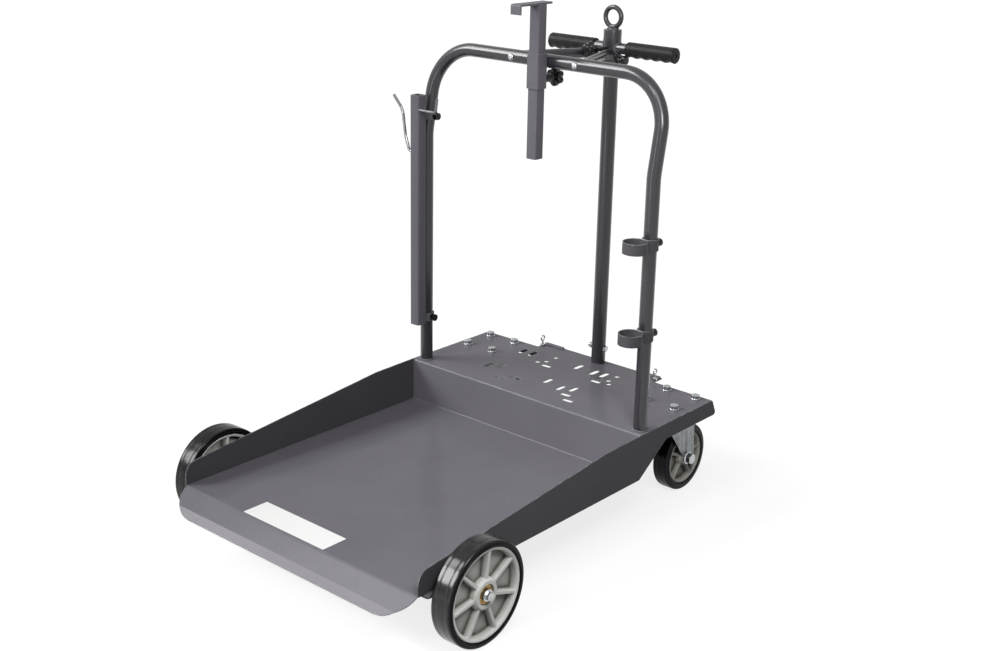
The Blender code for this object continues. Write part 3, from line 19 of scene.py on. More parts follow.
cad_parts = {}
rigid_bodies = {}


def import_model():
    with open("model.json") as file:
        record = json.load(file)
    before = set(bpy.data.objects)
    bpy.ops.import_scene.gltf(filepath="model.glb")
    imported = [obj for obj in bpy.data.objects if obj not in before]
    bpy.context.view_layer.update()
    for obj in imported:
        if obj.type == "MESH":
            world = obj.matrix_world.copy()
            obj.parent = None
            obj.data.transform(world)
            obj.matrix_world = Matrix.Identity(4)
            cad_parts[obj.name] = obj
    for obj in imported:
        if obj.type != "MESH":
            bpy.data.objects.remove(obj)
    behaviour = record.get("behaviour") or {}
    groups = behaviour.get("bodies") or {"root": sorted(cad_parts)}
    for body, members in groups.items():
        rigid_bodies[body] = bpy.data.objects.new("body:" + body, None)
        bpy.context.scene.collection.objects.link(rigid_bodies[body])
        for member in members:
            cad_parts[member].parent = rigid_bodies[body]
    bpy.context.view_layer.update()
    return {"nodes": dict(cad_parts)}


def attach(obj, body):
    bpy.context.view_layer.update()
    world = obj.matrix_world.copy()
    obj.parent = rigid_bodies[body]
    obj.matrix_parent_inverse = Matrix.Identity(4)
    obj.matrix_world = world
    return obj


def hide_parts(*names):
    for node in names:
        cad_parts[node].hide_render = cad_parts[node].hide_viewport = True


log = logging.getLogger("drum_trolley")

Point = Sequence[float]
Colour = tuple[float, float, float]
FRAME = "frame"
TURN = 2 * math.pi

# Places and clearances that several pieces share
RISER_Y = 0.182
DECK = 0.2185
BAR_TOP = 0.923
BRACE_X = 0.082
PIN_HEIGHT = 0.9055
HANDLE_HEIGHT = 0.929
MAST_Y = RISER_Y + 0.276
SOCKET_RADIUS = 0.0193
SEAT = 0.0003
ARM_THICKNESS = 0.0045

# Fine forms: the chamfer of a hexagon head, its cone's slope, the length of a weld's drops, the merging step
HEX_CHAMFER = 0.0006
HEX_SLOPE = 0.58
WELD_DROP = 0.0022
MERGE_STEP = 2e-6


class Axis(Enum):
    """The axis that a turned piece goes round."""

    X = 0
    Y = 1
    Z = 2


class Side(Enum):
    """The two sides of the trolley, with the sign of X there."""

    LEFT = -1
    RIGHT = 1

    @property
    def label(self) -> str:
        """The word that ends the names of this side's nodes."""
        return self.name.lower()


class Slot(Enum):
    """The record's material slots."""

    PAINT = "paint"
    TYRE = "tyre"
    GRIP = "grip_rubber"
    RIM = "rim"
    ZINC = "zinc"
    BRASS = "bearing_brass"
    WIRE = "bright_wire"
    BLACK = "black_plastic"


class Crease(Enum):
    """The angle in degrees past which the edges of a kind of piece stay sharp."""

    HEXAGON = 25.0
    MOULDED = 28.0
    SHEET = 30.0
    PLAIN = 38.0
    KNOB = 45.0
    TUBE = 50.0
    WIRE = 60.0


class Value:
    """A shader socket that takes part in Python arithmetic."""

    def __init__(self, graph: Graph, socket: bpy.types.NodeSocket) -> None:
        """Keep the socket with the graph that it belongs to."""
        self.graph = graph
        self.socket = socket

    def _math(self, operation: str, first: Any, second: Any) -> Value:
        """The result of a Math node on two values or numbers."""
        return self.graph.value("ShaderNodeMath", {"operation": operation}, {0: first, 1: second})

    def __add__(self, other: Any) -> Value:
        """The sum with a value or number."""
        return self._math("ADD", self, other)

    __radd__ = __add__

    def __sub__(self, other: Any) -> Value:
        """The difference from a value or number."""
        return self._math("SUBTRACT", self, other)

    def __rsub__(self, other: Any) -> Value:
        """A number less this value."""
        return self._math("SUBTRACT", other, self)

    def __mul__(self, other: Any) -> Value:
        """The product with a value or number."""
        return self._math("MULTIPLY", self, other)

    __rmul__ = __mul__

    def sine(self) -> Value:
        """The sine of this value, in turns."""
        return self._math("SINE", self * TURN, 0.0)

    def above(self, low: float, high: float) -> Value:
        """A soft step: 0 below low, 1 above high, smooth between them."""
        return self.graph.value("ShaderNodeMapRange", {"interpolation_type": "SMOOTHSTEP"},
                                {"Value": self, "From Min": low, "From Max": high})

    def clamped(self) -> Value:
        """This value held between 0 and 1."""
        return self.graph.value("ShaderNodeClamp", None, {"Value": self})


@dataclass(frozen=True)
class Finish:
    """A built material, and the record's slot that it belongs to."""

    material: bpy.types.Material
    slot: Slot


class Graph:
    """A material's node tree, with its Principled shader and its object coordinates."""

    def __init__(self, name: str) -> None:
        """Start a material of a name with a bare Principled shader."""
        self.material = bpy.data.materials.new(name)
        self.material.use_nodes = True
        self.tree = self.material.node_tree
        self.place = self.value("ShaderNodeTexCoord", output="Object")

    def node(self, kind: str, settings: dict[str, Any] | None = None,
             sockets: dict[Any, Any] | None = None) -> bpy.types.Node:
        """Add a node of any type.

        Args:
            kind: The node's type.
            settings: Its properties, which are set first.
            sockets: Values, or links as Value, for its inputs by name or number.

        Returns:
            The node.
        """
        made = self.tree.nodes.new(kind)
        for key, setting in (settings or {}).items():
            setattr(made, key, setting)
        for key, given in (sockets or {}).items():
            self.feed(made.inputs[key], given)
        return made

    def value(self, kind: str, settings: dict[str, Any] | None = None, sockets: dict[Any, Any] | None = None,
              output: int | str = 0) -> Value:
        """One output of a new node; the other arguments are those of node."""
        return Value(self, self.node(kind, settings, sockets).outputs[output])

    def feed(self, target: bpy.types.NodeSocket, given: Any) -> None:
        """Link a Value to an input, or set a plain number or colour on it.

        Args:
            target: The input.
            given: The Value, number or colour.
        """
        if isinstance(given, Value):
            self.tree.links.new(given.socket, target)
        else:
            target.default_value = given

    def vector(self, operation: str, first: Value, second: Any = (0.0, 0.0, 0.0),
               output: str = "Vector") -> Value:
        """The result of a Vector Math node on two vectors."""
        return self.value("ShaderNodeVectorMath", {"operation": operation}, {0: first, 1: second}, output)

    def noise(self, scale: float, detail: float = 2.0, rough: float = 0.5,
              stretch: Point | None = None) -> Value:
        """Cloudy noise over the piece.

        Args:
            scale: Features to the metre.
            detail: Octaves.
            rough: The share of the finer octaves.
            stretch: A scale on each axis, for streaks.

        Returns:
            The noise, about 0.5 on average.
        """
        place = self.place
        if stretch:
            place = self.value("ShaderNodeMapping", None, {"Vector": place, "Scale": stretch})
        return self.value("ShaderNodeTexNoise", {"noise_dimensions": "3D"},
                          {"Vector": place, "Scale": scale, "Detail": detail, "Roughness": rough})

    def cells(self, scale: float) -> Value:
        """The distance to the nearest of scattered points, about 0 to 1."""
        return self.value("ShaderNodeTexVoronoi", {"voronoi_dimensions": "3D"},
                          {"Vector": self.place, "Scale": scale}, "Distance")

    def mix(self, first: Any, second: Any, factor: Any) -> Value:
        """A colour between two others."""
        return self.value("ShaderNodeMix", {"data_type": "RGBA", "clamp_factor": True},
                          {0: factor, 6: opaque(first), 7: opaque(second)}, 2)

    def facing_up(self) -> Value:
        """How far the surface faces up, from -1 to 1."""
        return self.value("ShaderNodeSeparateXYZ", None, {0: self.true_normal()}, 2)

    def uv(self) -> tuple[Value, Value]:
        """Both parts of the piece's UV map.

        Returns:
            The two parts.
        """
        both = self.value("ShaderNodeTexCoord", output="UV")
        parts = self.node("ShaderNodeSeparateXYZ", None, {0: both}).outputs
        return Value(self, parts[0]), Value(self, parts[1])

    def rays(self, kinds: Sequence[str]) -> list[Value]:
        """Light Path's outputs of the kinds that are named."""
        outputs = self.node("ShaderNodeLightPath").outputs
        return [Value(self, outputs[kind]) for kind in kinds]

    def true_normal(self) -> Value:
        """The surface's own normal."""
        return self.value("ShaderNodeNewGeometry", output="Normal")

    def rounded_normal(self, radius: float) -> Value:
        """The surface normal with edges rounded by a radius."""
        return self.value("ShaderNodeBevel", {"samples": 6}, {"Radius": radius})

    def edge_mask(self, rounded: Value) -> Value:
        """Where a rounded normal leaves the true one: near 1 along sharp edges, 0 on flat faces."""
        return (1 - self.vector("DOT_PRODUCT", rounded, self.true_normal(), "Value")).above(0.02, 0.30)

    def bump(self, height: Value, strength: float, distance: float, normal: Value | None = None) -> Value:
        """A normal with a height pattern pressed into it.

        Args:
            height: The pattern.
            strength: How strongly it shows.
            distance: Its depth in metres.
            normal: The normal to start from.

        Returns:
            The new normal.
        """
        sockets: dict[Any, Any] = {"Height": height, "Strength": strength, "Distance": distance}
        if normal is not None:
            sockets["Normal"] = normal
        return self.value("ShaderNodeBump", None, sockets)

    def principled(self, **sockets: Any) -> bpy.types.Material:
        """Set the shader's inputs.

        Args:
            sockets: Values by input name, with underscores for spaces.

        Returns:
            The material.
        """
        shader = self.tree.nodes["Principled BSDF"]
        for key, given in sockets.items():
            self.feed(shader.inputs[key.replace("_", " ")], opaque(given))
        return self.material

    def finish(self, slot: Slot, colour: Value, rough: Value, normal: Value, **others: Any) -> Finish:
        """The finish from what changes over its surface, with other inputs of the shader."""
        material = self.principled(Base_Color=colour, Roughness=rough.clamped(), Normal=normal, **others)
        return Finish(material, slot)


class WorldGraph(Graph):
    """The world's node tree, for the same arithmetic."""

    def __init__(self, name: str) -> None:
        """Start a world of a name with a bare Background shader."""
        self.world = bpy.data.worlds.new(name)
        self.world.use_nodes = True
        self.tree = self.world.node_tree


def opaque(colour: Any) -> Any:
    """A three-part colour with alpha 1; anything else unchanged.

    Args:
        colour: The colour, or anything else.

    Returns:
        The colour in four parts, or what was given.
    """
    if isinstance(colour, tuple) and len(colour) == 3:
        return (*colour, 1.0)
    return colour


def scaled(tone: Colour, share: float, lift: float = 0.0) -> Colour:
    """A colour with its parts multiplied by a share, lifted and held at 1."""
    return tuple(min(1.0, share * part + lift) for part in tone)


@dataclass(frozen=True)
class PowderCoat:
    """Anthracite powder coat with a fine metallic fleck, and edges paler by wear and a painted highlight."""

    name: str = "powder_coat"
    tone: Colour = (0.116, 0.110, 0.128)
    fleck: Colour = (0.240, 0.234, 0.252)
    rubbed: Colour = (0.680, 0.675, 0.680)
    roughness: float = 0.42
    gloss: float = 0.09
    gloss_roughness: float = 0.11
    sheen: float = 0.05
    scuffs: float = 0.0
    edge_radius: float = 0.0011

    def build(self) -> Finish:
        """The finish: fleck, mottle, scuffs, edges worn pale with a painted highlight, and a fine orange
        peel.

        Returns:
            The finish.
        """
        graph = Graph(self.name)
        grain = graph.noise(1500.0, 1.0)
        mottle = graph.noise(7.0, 4.0, 0.6)
        rounded = graph.rounded_normal(self.edge_radius)
        wear_and_highlight = graph.edge_mask(rounded) * graph.noise(60.0, 3.0).above(0.25, 0.65)
        colour = graph.mix(self.tone, self.fleck, grain.above(0.52, 0.78) * 0.60)
        colour = graph.mix(colour, scaled(self.tone, 0.84), mottle.above(0.35, 0.75) * 0.35)
        rough = self.roughness + (mottle - 0.5) * 0.16 + (grain - 0.5) * 0.12
        if self.scuffs:
            drag = graph.noise(30.0, 4.0, 0.7, (9.0, 0.35, 1.0)).above(0.60, 0.74)
            patch = graph.noise(5.0, 3.0).above(0.48, 0.70)
            scuff = drag * patch * graph.facing_up().above(0.5, 0.9) * self.scuffs
            colour = graph.mix(colour, self.fleck, scuff)
            rough = rough + scuff * 0.15
        # The pale edges are partly wear and partly a painted highlight along the sharp edges
        colour = graph.mix(colour, self.rubbed, wear_and_highlight * 0.80)
        normal = graph.bump(graph.noise(420.0, 2.0) + grain * 0.35, 0.16, 0.0004, rounded)
        return graph.finish(Slot.PAINT, colour, rough, normal, Specular_IOR_Level=self.sheen,
                            Coat_Weight=self.gloss, Coat_Roughness=self.gloss_roughness)


@dataclass(frozen=True)
class TyreRubber:
    """Black solid rubber, polished, scuffed and dusty on the tread and dull on the side walls."""

    name: str
    centre: Point
    tread_radius: float
    polish: float
    black: Colour = (0.004, 0.004, 0.005)
    dust: Colour = (0.030, 0.029, 0.029)

    def build(self) -> Finish:
        """The finish: dust by distance from the axle, scuffs round the tread and mould grain.

        Returns:
            The finish.
        """
        graph = Graph(self.name)
        offset = graph.vector("SUBTRACT", graph.place, self.centre)
        reach = graph.vector("LENGTH", graph.vector("MULTIPLY", offset, (0.0, 1.0, 1.0)), output="Value")
        tread = reach.above(self.tread_radius - 0.004, self.tread_radius)
        cloud = graph.noise(45.0, 4.0, 0.65)
        scratch = graph.noise(260.0, 3.0, 0.7, (0.25, 1.0, 1.0)).above(0.58, 0.72)
        dirt = tread * cloud.above(0.45, 0.75) * 0.35 + scratch * 0.08 + cloud.above(0.62, 0.80) * 0.06
        dirt = dirt.clamped()
        colour = graph.mix(self.black, self.dust, dirt)
        rough = 0.19 + dirt * 0.45 + (graph.noise(18.0) - 0.5) * 0.10
        normal = graph.bump(graph.noise(900.0, 2.0) + scratch * 0.6, 0.12, 0.0003)
        return graph.finish(Slot.TYRE, colour, rough, normal, Specular_IOR_Level=0.07,
                            Coat_Weight=tread * self.polish, Coat_Roughness=0.15)


@dataclass(frozen=True)
class KnobPlastic:
    """Black moulded plastic with a sparked grain, a little dirt, and edges paler by wear and a painted
    highlight.
    """

    name: str = "black_plastic"
    tone: Colour = (0.007, 0.007, 0.008)
    dirt: Colour = (0.020, 0.019, 0.018)

    def build(self) -> Finish:
        """The finish: cloudy soiling, grain and softened edges.

        Returns:
            The finish.
        """
        graph = Graph(self.name)
        rounded = graph.rounded_normal(0.0008)
        cloud = graph.noise(38.0, 4.0, 0.6)
        speck = graph.noise(700.0, 2.0)
        colour = graph.mix(self.tone, self.dirt, cloud.above(0.48, 0.80) * 0.35)
        wear_and_highlight = graph.edge_mask(rounded) * 0.45 + speck.above(0.62, 0.75) * 0.18
        # Paler edges are wear and a painted highlight; the paler specks are grain
        colour = graph.mix(colour, scaled(self.tone, 1.35, 0.01), wear_and_highlight)
        rough = 0.22 + (cloud - 0.5) * 0.20 + (speck - 0.5) * 0.10
        normal = graph.bump(speck, 0.12, 0.0004, rounded)
        return graph.finish(Slot.BLACK, colour, rough, normal, Specular_IOR_Level=0.28)


@dataclass(frozen=True)
class RimPlastic:
    """Pale grey moulded plastic with cloudy dirt, painted shade in the corners and depths of its pockets, and
    a painted highlight along its edges.
    """

    name: str = "rim_plastic"
    tone: Colour = (0.800, 0.812, 0.775)
    # The colour of the cloudy dirt and of the painted shade in the pockets
    dirt: Colour = (0.110, 0.108, 0.092)

    def build(self) -> Finish:
        """The finish: the piece's UV map holds the depth in a pocket and the closeness to its walls, which
        set the painted shade.

        Returns:
            The finish.
        """
        graph = Graph(self.name)
        rounded = graph.rounded_normal(0.0009)
        deep, corner = graph.uv()
        cloud = graph.noise(38.0, 4.0, 0.6)
        speck = graph.noise(700.0, 2.0)
        # Painted shade near the pocket walls and deep in the pockets, plus cloudy dirt
        grime_and_painted_shade = (corner * 0.90 + deep.above(0.6, 1.0) * 0.42 + cloud.above(0.50, 0.80) * 0.15).clamped()
        colour = graph.mix(self.tone, self.dirt, grime_and_painted_shade)
        # Painted highlight: lighter along the sharp edges
        colour = graph.mix(colour, scaled(self.tone, 1.15), graph.edge_mask(rounded) * 0.6)
        rough = 0.46 + grime_and_painted_shade * 0.2 + (speck - 0.5) * 0.10
        normal = graph.bump(speck, 0.10, 0.0004, rounded)
        return graph.finish(Slot.RIM, colour, rough, normal, Specular_IOR_Level=0.25)


@dataclass(frozen=True)
class KnurledRubber:
    """Black grip rubber with a raised diamond pattern."""

    name: str = "grip_rubber"
    black: Colour = (0.004, 0.004, 0.005)
    dust: Colour = (0.034, 0.033, 0.033)

    def build(self) -> Finish:
        """The finish: two crossing wave families in the piece's UV map make the diamonds.

        Returns:
            The finish.
        """
        graph = Graph(self.name)
        along, around = graph.uv()
        diamond = ((along + around).sine() * (along - around).sine()).above(-0.15, 0.65)
        cloud = graph.noise(60.0, 3.0)
        colour = graph.mix(self.black, self.dust, diamond * 0.30 + cloud.above(0.5, 0.8) * 0.22)
        rough = 0.42 + (cloud - 0.5) * 0.2 - diamond * 0.12
        normal = graph.bump(diamond + graph.noise(900.0) * 0.2, 1.0, 0.0007)
        return graph.finish(Slot.GRIP, colour, rough, normal, Specular_IOR_Level=0.20)


@dataclass(frozen=True)
class PlatedMetal:
    """Plated steel or brass with a mottled surface, fine draw lines and dull patches."""

    name: str
    tone: Colour
    dull: Colour
    roughness: float
    slot: Slot = Slot.ZINC
    soiling: float = 0.45
    streak: Point = (1.0, 1.0, 1.0)
    streak_scale: float = 900.0
    streak_share: float = 0.25

    def build(self) -> Finish:
        """The finish: spangle, dull patches, and a painted highlight along the rounded edges.

        Returns:
            The finish.
        """
        graph = Graph(self.name)
        rounded = graph.rounded_normal(0.0006)
        spangle = graph.cells(330.0)
        cloud = graph.noise(70.0, 4.0, 0.6)
        line = graph.noise(self.streak_scale, 2.0, 0.5, self.streak)
        soil = cloud.above(0.45, 0.80) * self.soiling + spangle * 0.12
        colour = graph.mix(self.tone, self.dull, soil + line.above(0.40, 0.66) * self.streak_share)
        # Painted highlight: lighter along the sharp edges
        colour = graph.mix(colour, scaled(self.tone, 1.12), graph.edge_mask(rounded) * 0.6)
        rough = self.roughness + (cloud - 0.5) * 0.22 + (spangle - 0.4) * 0.10
        normal = graph.bump(line * 0.5 + spangle * 0.3, 0.10, 0.0002, rounded)
        return graph.finish(self.slot, colour, rough, normal, Metallic=1.0)


@dataclass(frozen=True)
class LabelFilm:
    """A blank white adhesive label, a little soiled and scratched."""

    name: str = "label_film"
    white: Colour = (0.74, 0.74, 0.735)
    grey: Colour = (0.48, 0.48, 0.47)

    def build(self) -> Finish:
        """The finish: satin film with faint soiling and scratches.

        Returns:
            The finish.
        """
        graph = Graph(self.name)
        cloud = graph.noise(30.0, 4.0, 0.65)
        scratch = graph.noise(120.0, 3.0, 0.7, (0.2, 3.0, 1.0)).above(0.66, 0.74)
        colour = graph.mix(self.white, self.grey, cloud.above(0.55, 0.85) * 0.25 + scratch * 0.25)
        rough = 0.34 + (cloud - 0.5) * 0.2 + scratch * 0.2
        normal = graph.bump(graph.noise(260.0, 2.0), 0.05, 0.0003)
        return graph.finish(Slot.PAINT, colour, rough, normal)


class Finishes:
    """Every finish of the trolley, built once."""

    def __init__(self) -> None:
        """Build the finishes."""
        self.paint = PowderCoat().build()
        self.tray = PowderCoat("tray_powder_coat", scuffs=0.30, gloss=0.18, edge_radius=0.0016).build()
        # A darker copy of the same powder coat: painted shade on the side walls and ring holders
        self.wall = PowderCoat("wall_powder_coat", (0.068, 0.065, 0.073), (0.150, 0.146, 0.156),
                               edge_radius=0.0016).build()
        # A much darker, glossier copy of the same powder coat: painted shade on the round tubes
        self.tube = PowderCoat("tube_powder_coat", (0.026, 0.024, 0.029), (0.082, 0.079, 0.087),
                               roughness=0.29, gloss=0.70, gloss_roughness=0.18, sheen=0.18,
                               edge_radius=0.0008).build()
        # A lighter, glossier copy of the same powder coat: painted light on the hose hook
        self.rod = PowderCoat("rod_powder_coat", (0.150, 0.145, 0.162), (0.300, 0.292, 0.312),
                              gloss=0.60).build()
        self.rim = RimPlastic().build()
        self.caster_rim = RimPlastic("caster_rim_plastic", (0.520, 0.512, 0.462),
                                     (0.070, 0.066, 0.056)).build()
        self.black = KnobPlastic().build()
        self.grip = KnurledRubber().build()
        self.zinc = PlatedMetal("zinc_plate", (0.52, 0.54, 0.56), (0.22, 0.22, 0.22), 0.22).build()
        # A darker copy of the zinc plate: painted shade on the caster forks, with draw streaks
        self.fork = PlatedMetal("fork_zinc", (0.25, 0.265, 0.27), (0.10, 0.10, 0.10), 0.34,
                                streak=(1.0, 1.0, 0.10), streak_scale=150.0, streak_share=0.60).build()
        self.brass = PlatedMetal("bearing_brass", (0.52, 0.37, 0.15), (0.12, 0.09, 0.05), 0.38, Slot.BRASS,
                                 0.8).build()
        self.wire = PlatedMetal("bright_wire", (0.30, 0.30, 0.31), (0.16, 0.16, 0.16), 0.16, Slot.WIRE,
                                0.2).build()
        self.label = LabelFilm().build()


@dataclass
class Patch:
    """Points with quads and triangles, worked out as whole arrays."""

    points: np.ndarray
    quads: np.ndarray
    tris: np.ndarray
    uv: np.ndarray | None = None

    @staticmethod
    def grid(points: np.ndarray, wrap_rows: bool = False) -> Patch:
        """A skin over a grid whose columns always close round.

        Args:
            points: The grid, rows by columns by 3.
            wrap_rows: Whether the last row joins the first; if not, a fan to their middle closes both.

        Returns:
            The skin.
        """
        rows, columns = points.shape[:2]
        index = np.arange(rows * columns).reshape(rows, columns)
        right = np.roll(index, -1, axis=1)
        flat = points.reshape(-1, 3)
        tris = np.zeros((0, 3), int)
        low, low_right = index, right
        high, high_right = np.roll(index, -1, axis=0), np.roll(right, -1, axis=0)
        if not wrap_rows:
            low, low_right, high, high_right = low[:-1], low_right[:-1], high[:-1], high_right[:-1]
            flat = np.vstack([flat, points[0].mean(axis=0), points[-1].mean(axis=0)])
            first = np.full(columns, rows * columns)
            tris = np.vstack([np.stack([right[0], index[0], first], axis=-1),
                              np.stack([index[-1], right[-1], first + 1], axis=-1)])
        quads = np.stack([low, low_right, high_right, high], axis=-1).reshape(-1, 4)
        return Patch(flat, quads, tris)

    @staticmethod
    def together(*parts: Patch) -> Patch:
        """Closed patches as one, each with its faces turned outwards.

        Args:
            parts: The patches.

        Returns:
            The whole.
        """
        starts = np.cumsum([0] + [len(part.points) for part in parts])
        turned = [part.outward() for part in parts]
        return Patch(np.vstack([part.points for part in turned]),
                     np.vstack([part.quads + start for part, start in zip(turned, starts)]),
                     np.vstack([part.tris + start for part, start in zip(turned, starts)]))

    def outward(self) -> Patch:
        """This closed patch with its faces turned outwards: the enclosed volume comes out positive.

        Returns:
            The patch.
        """
        halves = np.vstack([self.quads[:, [0, 1, 2]], self.quads[:, [0, 2, 3]], self.tris])
        a, b, c = (self.points[halves[:, i]] for i in range(3))
        if np.einsum("ij,ij->i", a, np.cross(b, c)).sum() < 0:
            return Patch(self.points, self.quads[:, ::-1], self.tris[:, ::-1], self.uv)
        return self

    def mesh(self, name: str) -> bpy.types.Mesh:
        """A Blender mesh of the patch, with its UV map.

        Args:
            name: The mesh's name.

        Returns:
            The mesh.
        """
        whole = self.outward()
        mesh = bpy.data.meshes.new(name)
        mesh.from_pydata(whole.points.tolist(), [], whole.quads.tolist() + whole.tris.tolist())
        if whole.uv is not None:
            corner = np.zeros(len(mesh.loops), dtype=np.int32)
            mesh.loops.foreach_get("vertex_index", corner)
            layer = mesh.uv_layers.new(name="UVMap")
            layer.data.foreach_set("uv", whole.uv[corner].astype(np.float32).ravel())
        mesh.update()
        return mesh


def coat(thing: bpy.types.Object, finish: Finish) -> None:
    """Give an object one finish."""
    thing.data.materials.clear()
    thing.data.materials.append(finish.material)


def settle(name: str, mesh: bpy.types.Mesh, finish: Finish, body: str, replaces: str, crease: Crease) -> None:
    """Shade, dress and attach a mesh as a piece.

    Args:
        name: The piece's name.
        mesh: Its mesh.
        finish: Its finish.
        body: The body that carries it.
        replaces: The node that it stands for, or no name.
        crease: Which of its edges stay sharp.
    """
    piece = bpy.data.objects.new(name, mesh)
    bpy.context.scene.collection.objects.link(piece)
    mesh.shade_smooth()
    mesh.set_sharp_from_angle(angle=math.radians(crease.value))
    coat(piece, finish)
    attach(piece, body)
    if replaces:
        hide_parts(replaces)
    log.info("%s rides on %s", piece.name, body)


def add_piece(name: str, patch: Patch, finish: Finish, body: str = FRAME, replaces: str = "",
              crease: Crease = Crease.PLAIN) -> None:
    """Make a piece that rides on a body.

    Args:
        name: The piece's name.
        patch: Its surface.
        finish: Its finish.
        body: The body that carries it.
        replaces: The node that it stands for, if there is one.
        crease: Which of its edges stay sharp.
    """
    settle(name, patch.mesh(name), finish, body, replaces, crease)


def polar(radii: np.ndarray, along: np.ndarray, axis: Axis, origin: Point, closed: bool = False) -> Patch:
    """A skin round an axis: radius and place along the axis for each row and angle.

    Args:
        radii: Rows by columns of radii.
        along: Rows by columns of places along the axis.
        axis: The axis.
        origin: A point on the axis, from which the places are measured.
        closed: Whether the last row joins the first, as on a tyre.

    Returns:
        The skin, with its ends closed by fans unless it is closed on itself.
    """
    angle = angles(radii.shape[1])
    u, v = radii * np.cos(angle), radii * np.sin(angle)
    parts = {Axis.X: (along, u, v), Axis.Y: (v, along, u), Axis.Z: (u, v, along)}[axis]
    points = np.stack(np.broadcast_arrays(*parts), axis=-1) + np.array(origin)
    return Patch.grid(points, wrap_rows=closed)


def lathe(profile: Sequence[Point], axis: Axis, origin: Point, sides: int = 48, closed: bool = False,
          sign: int = 1) -> Patch:
    """A profile turned right round an axis.

    Args:
        profile: Radii with places along the axis.
        axis: The axis.
        origin: A point on the axis, from which the places are measured.
        sides: Points round.
        closed: Whether the profile closes on itself.
        sign: What the places are multiplied by.

    Returns:
        The skin.
    """
    array = np.array(profile, dtype=float)
    radii = np.repeat(array[:, :1], sides, axis=1)
    along = np.repeat(sign * array[:, 1:2], sides, axis=1)
    return polar(radii, along, axis, origin, closed)


def rod(radius: float, low: float, high: float, axis: Axis, origin: Point, sides: int = 32) -> Patch:
    """A round bar along an axis."""
    return lathe([(radius, low), (radius, high)], axis, origin, sides)


def softened(profile: Sequence[Point], radius: float, steps: int = 4, closed: bool = False) -> list[Point]:
    """A run of flat points with each corner rounded by an arc drawn as a quadratic curve.

    Args:
        profile: The corners.
        radius: How far from the corner the curve starts, at most 45% of the shorter run.
        steps: Pieces of each curve.
        closed: Whether the run closes on itself.

    Returns:
        The rounded run.
    """
    corners = np.array(profile, dtype=float)
    count = len(corners)
    share = np.linspace(0.0, 1.0, steps + 1)[:, None]
    result: list[Point] = []
    for i, here in enumerate(corners):
        if not closed and i in (0, count - 1):
            result.append(tuple(here))
            continue
        back, ahead = corners[i - 1] - here, corners[(i + 1) % count] - here
        reach = min(radius, 0.45 * np.linalg.norm(back), 0.45 * np.linalg.norm(ahead))
        start = here + back / max(np.linalg.norm(back), 1e-9) * reach
        end = here + ahead / max(np.linalg.norm(ahead), 1e-9) * reach
        curve = (1 - share) ** 2 * start + 2 * share * (1 - share) * here + share ** 2 * end
        result += [tuple(point) for point in curve]
    return result


def bent(corners: Sequence[Point], radii: Sequence[float], steps: int = 12) -> np.ndarray:
    """A path through corners, each inner one rounded by a true arc.

    Args:
        corners: The corners.
        radii: A bend radius for each inner corner.
        steps: Pieces of each arc.

    Returns:
        The path's points.
    """
    places = np.array(corners, dtype=float)
    share = np.linspace(0.0, 1.0, steps + 1)[:, None]
    points = [places[:1]]
    for i, radius in enumerate(radii, start=1):
        before, here, after = places[i - 1:i + 2]
        back = (before - here) / np.linalg.norm(before - here)
        ahead = (after - here) / np.linalg.norm(after - here)
        half = math.acos(float(np.clip(back @ ahead, -1, 1))) / 2
        middle = here + (back + ahead) / np.linalg.norm(back + ahead) * radius / math.sin(half)
        start = here + back * radius / math.tan(half) - middle
        end = here + ahead * radius / math.tan(half) - middle
        turn = math.pi - 2 * half
        arc = (np.sin((1 - share) * turn) * start + np.sin(share * turn) * end) / math.sin(turn)
        points.append(middle + arc)
    return np.vstack([*points, places[-1:]])


def sweep(path: np.ndarray, ring: np.ndarray, upright: Point | np.ndarray, closed: bool = False) -> Patch:
    """A flat ring carried along a path.

    The ring's first axis is the part of upright that is square to the path, and its second axis is square
    to both.

    Args:
        path: The points of the path.
        ring: Columns by 2, or rows by columns by 2 where the ring changes along the path.
        upright: One direction, or one for each point.
        closed: Whether the path closes on itself.

    Returns:
        The skin.
    """
    if closed:
        tangent = np.roll(path, -1, axis=0) - np.roll(path, 1, axis=0)
    else:
        tangent = np.gradient(path, axis=0)
    tangent /= np.linalg.norm(tangent, axis=1, keepdims=True)
    up = np.broadcast_to(np.array(upright, dtype=float), path.shape)
    up = up - np.einsum("ij,ij->i", up, tangent)[:, None] * tangent
    up = up / np.linalg.norm(up, axis=1, keepdims=True)
    across = np.cross(tangent, up)
    rings = np.broadcast_to(ring, (len(path), *ring.shape[-2:]))
    points = path[:, None] + rings[..., :1] * up[:, None] + rings[..., 1:] * across[:, None]
    return Patch.grid(points, wrap_rows=closed)


def angles(sides: int) -> np.ndarray:
    """Even angles right round."""
    return np.linspace(0.0, TURN, sides, endpoint=False)


def ring_of(radius: float, sides: int = 24) -> np.ndarray:
    """A circle of flat points about the middle."""
    return radius * np.stack([np.cos(angles(sides)), np.sin(angles(sides))], axis=1)


def loop(centre: Point, radius: float, axis: Axis, sides: int) -> tuple[np.ndarray, np.ndarray]:
    """A circle of points round an axis, and that axis as a direction."""
    circle = np.insert(ring_of(radius, sides), axis.value, 0.0, axis=1)
    return circle + np.array(centre), np.eye(3)[axis.value]


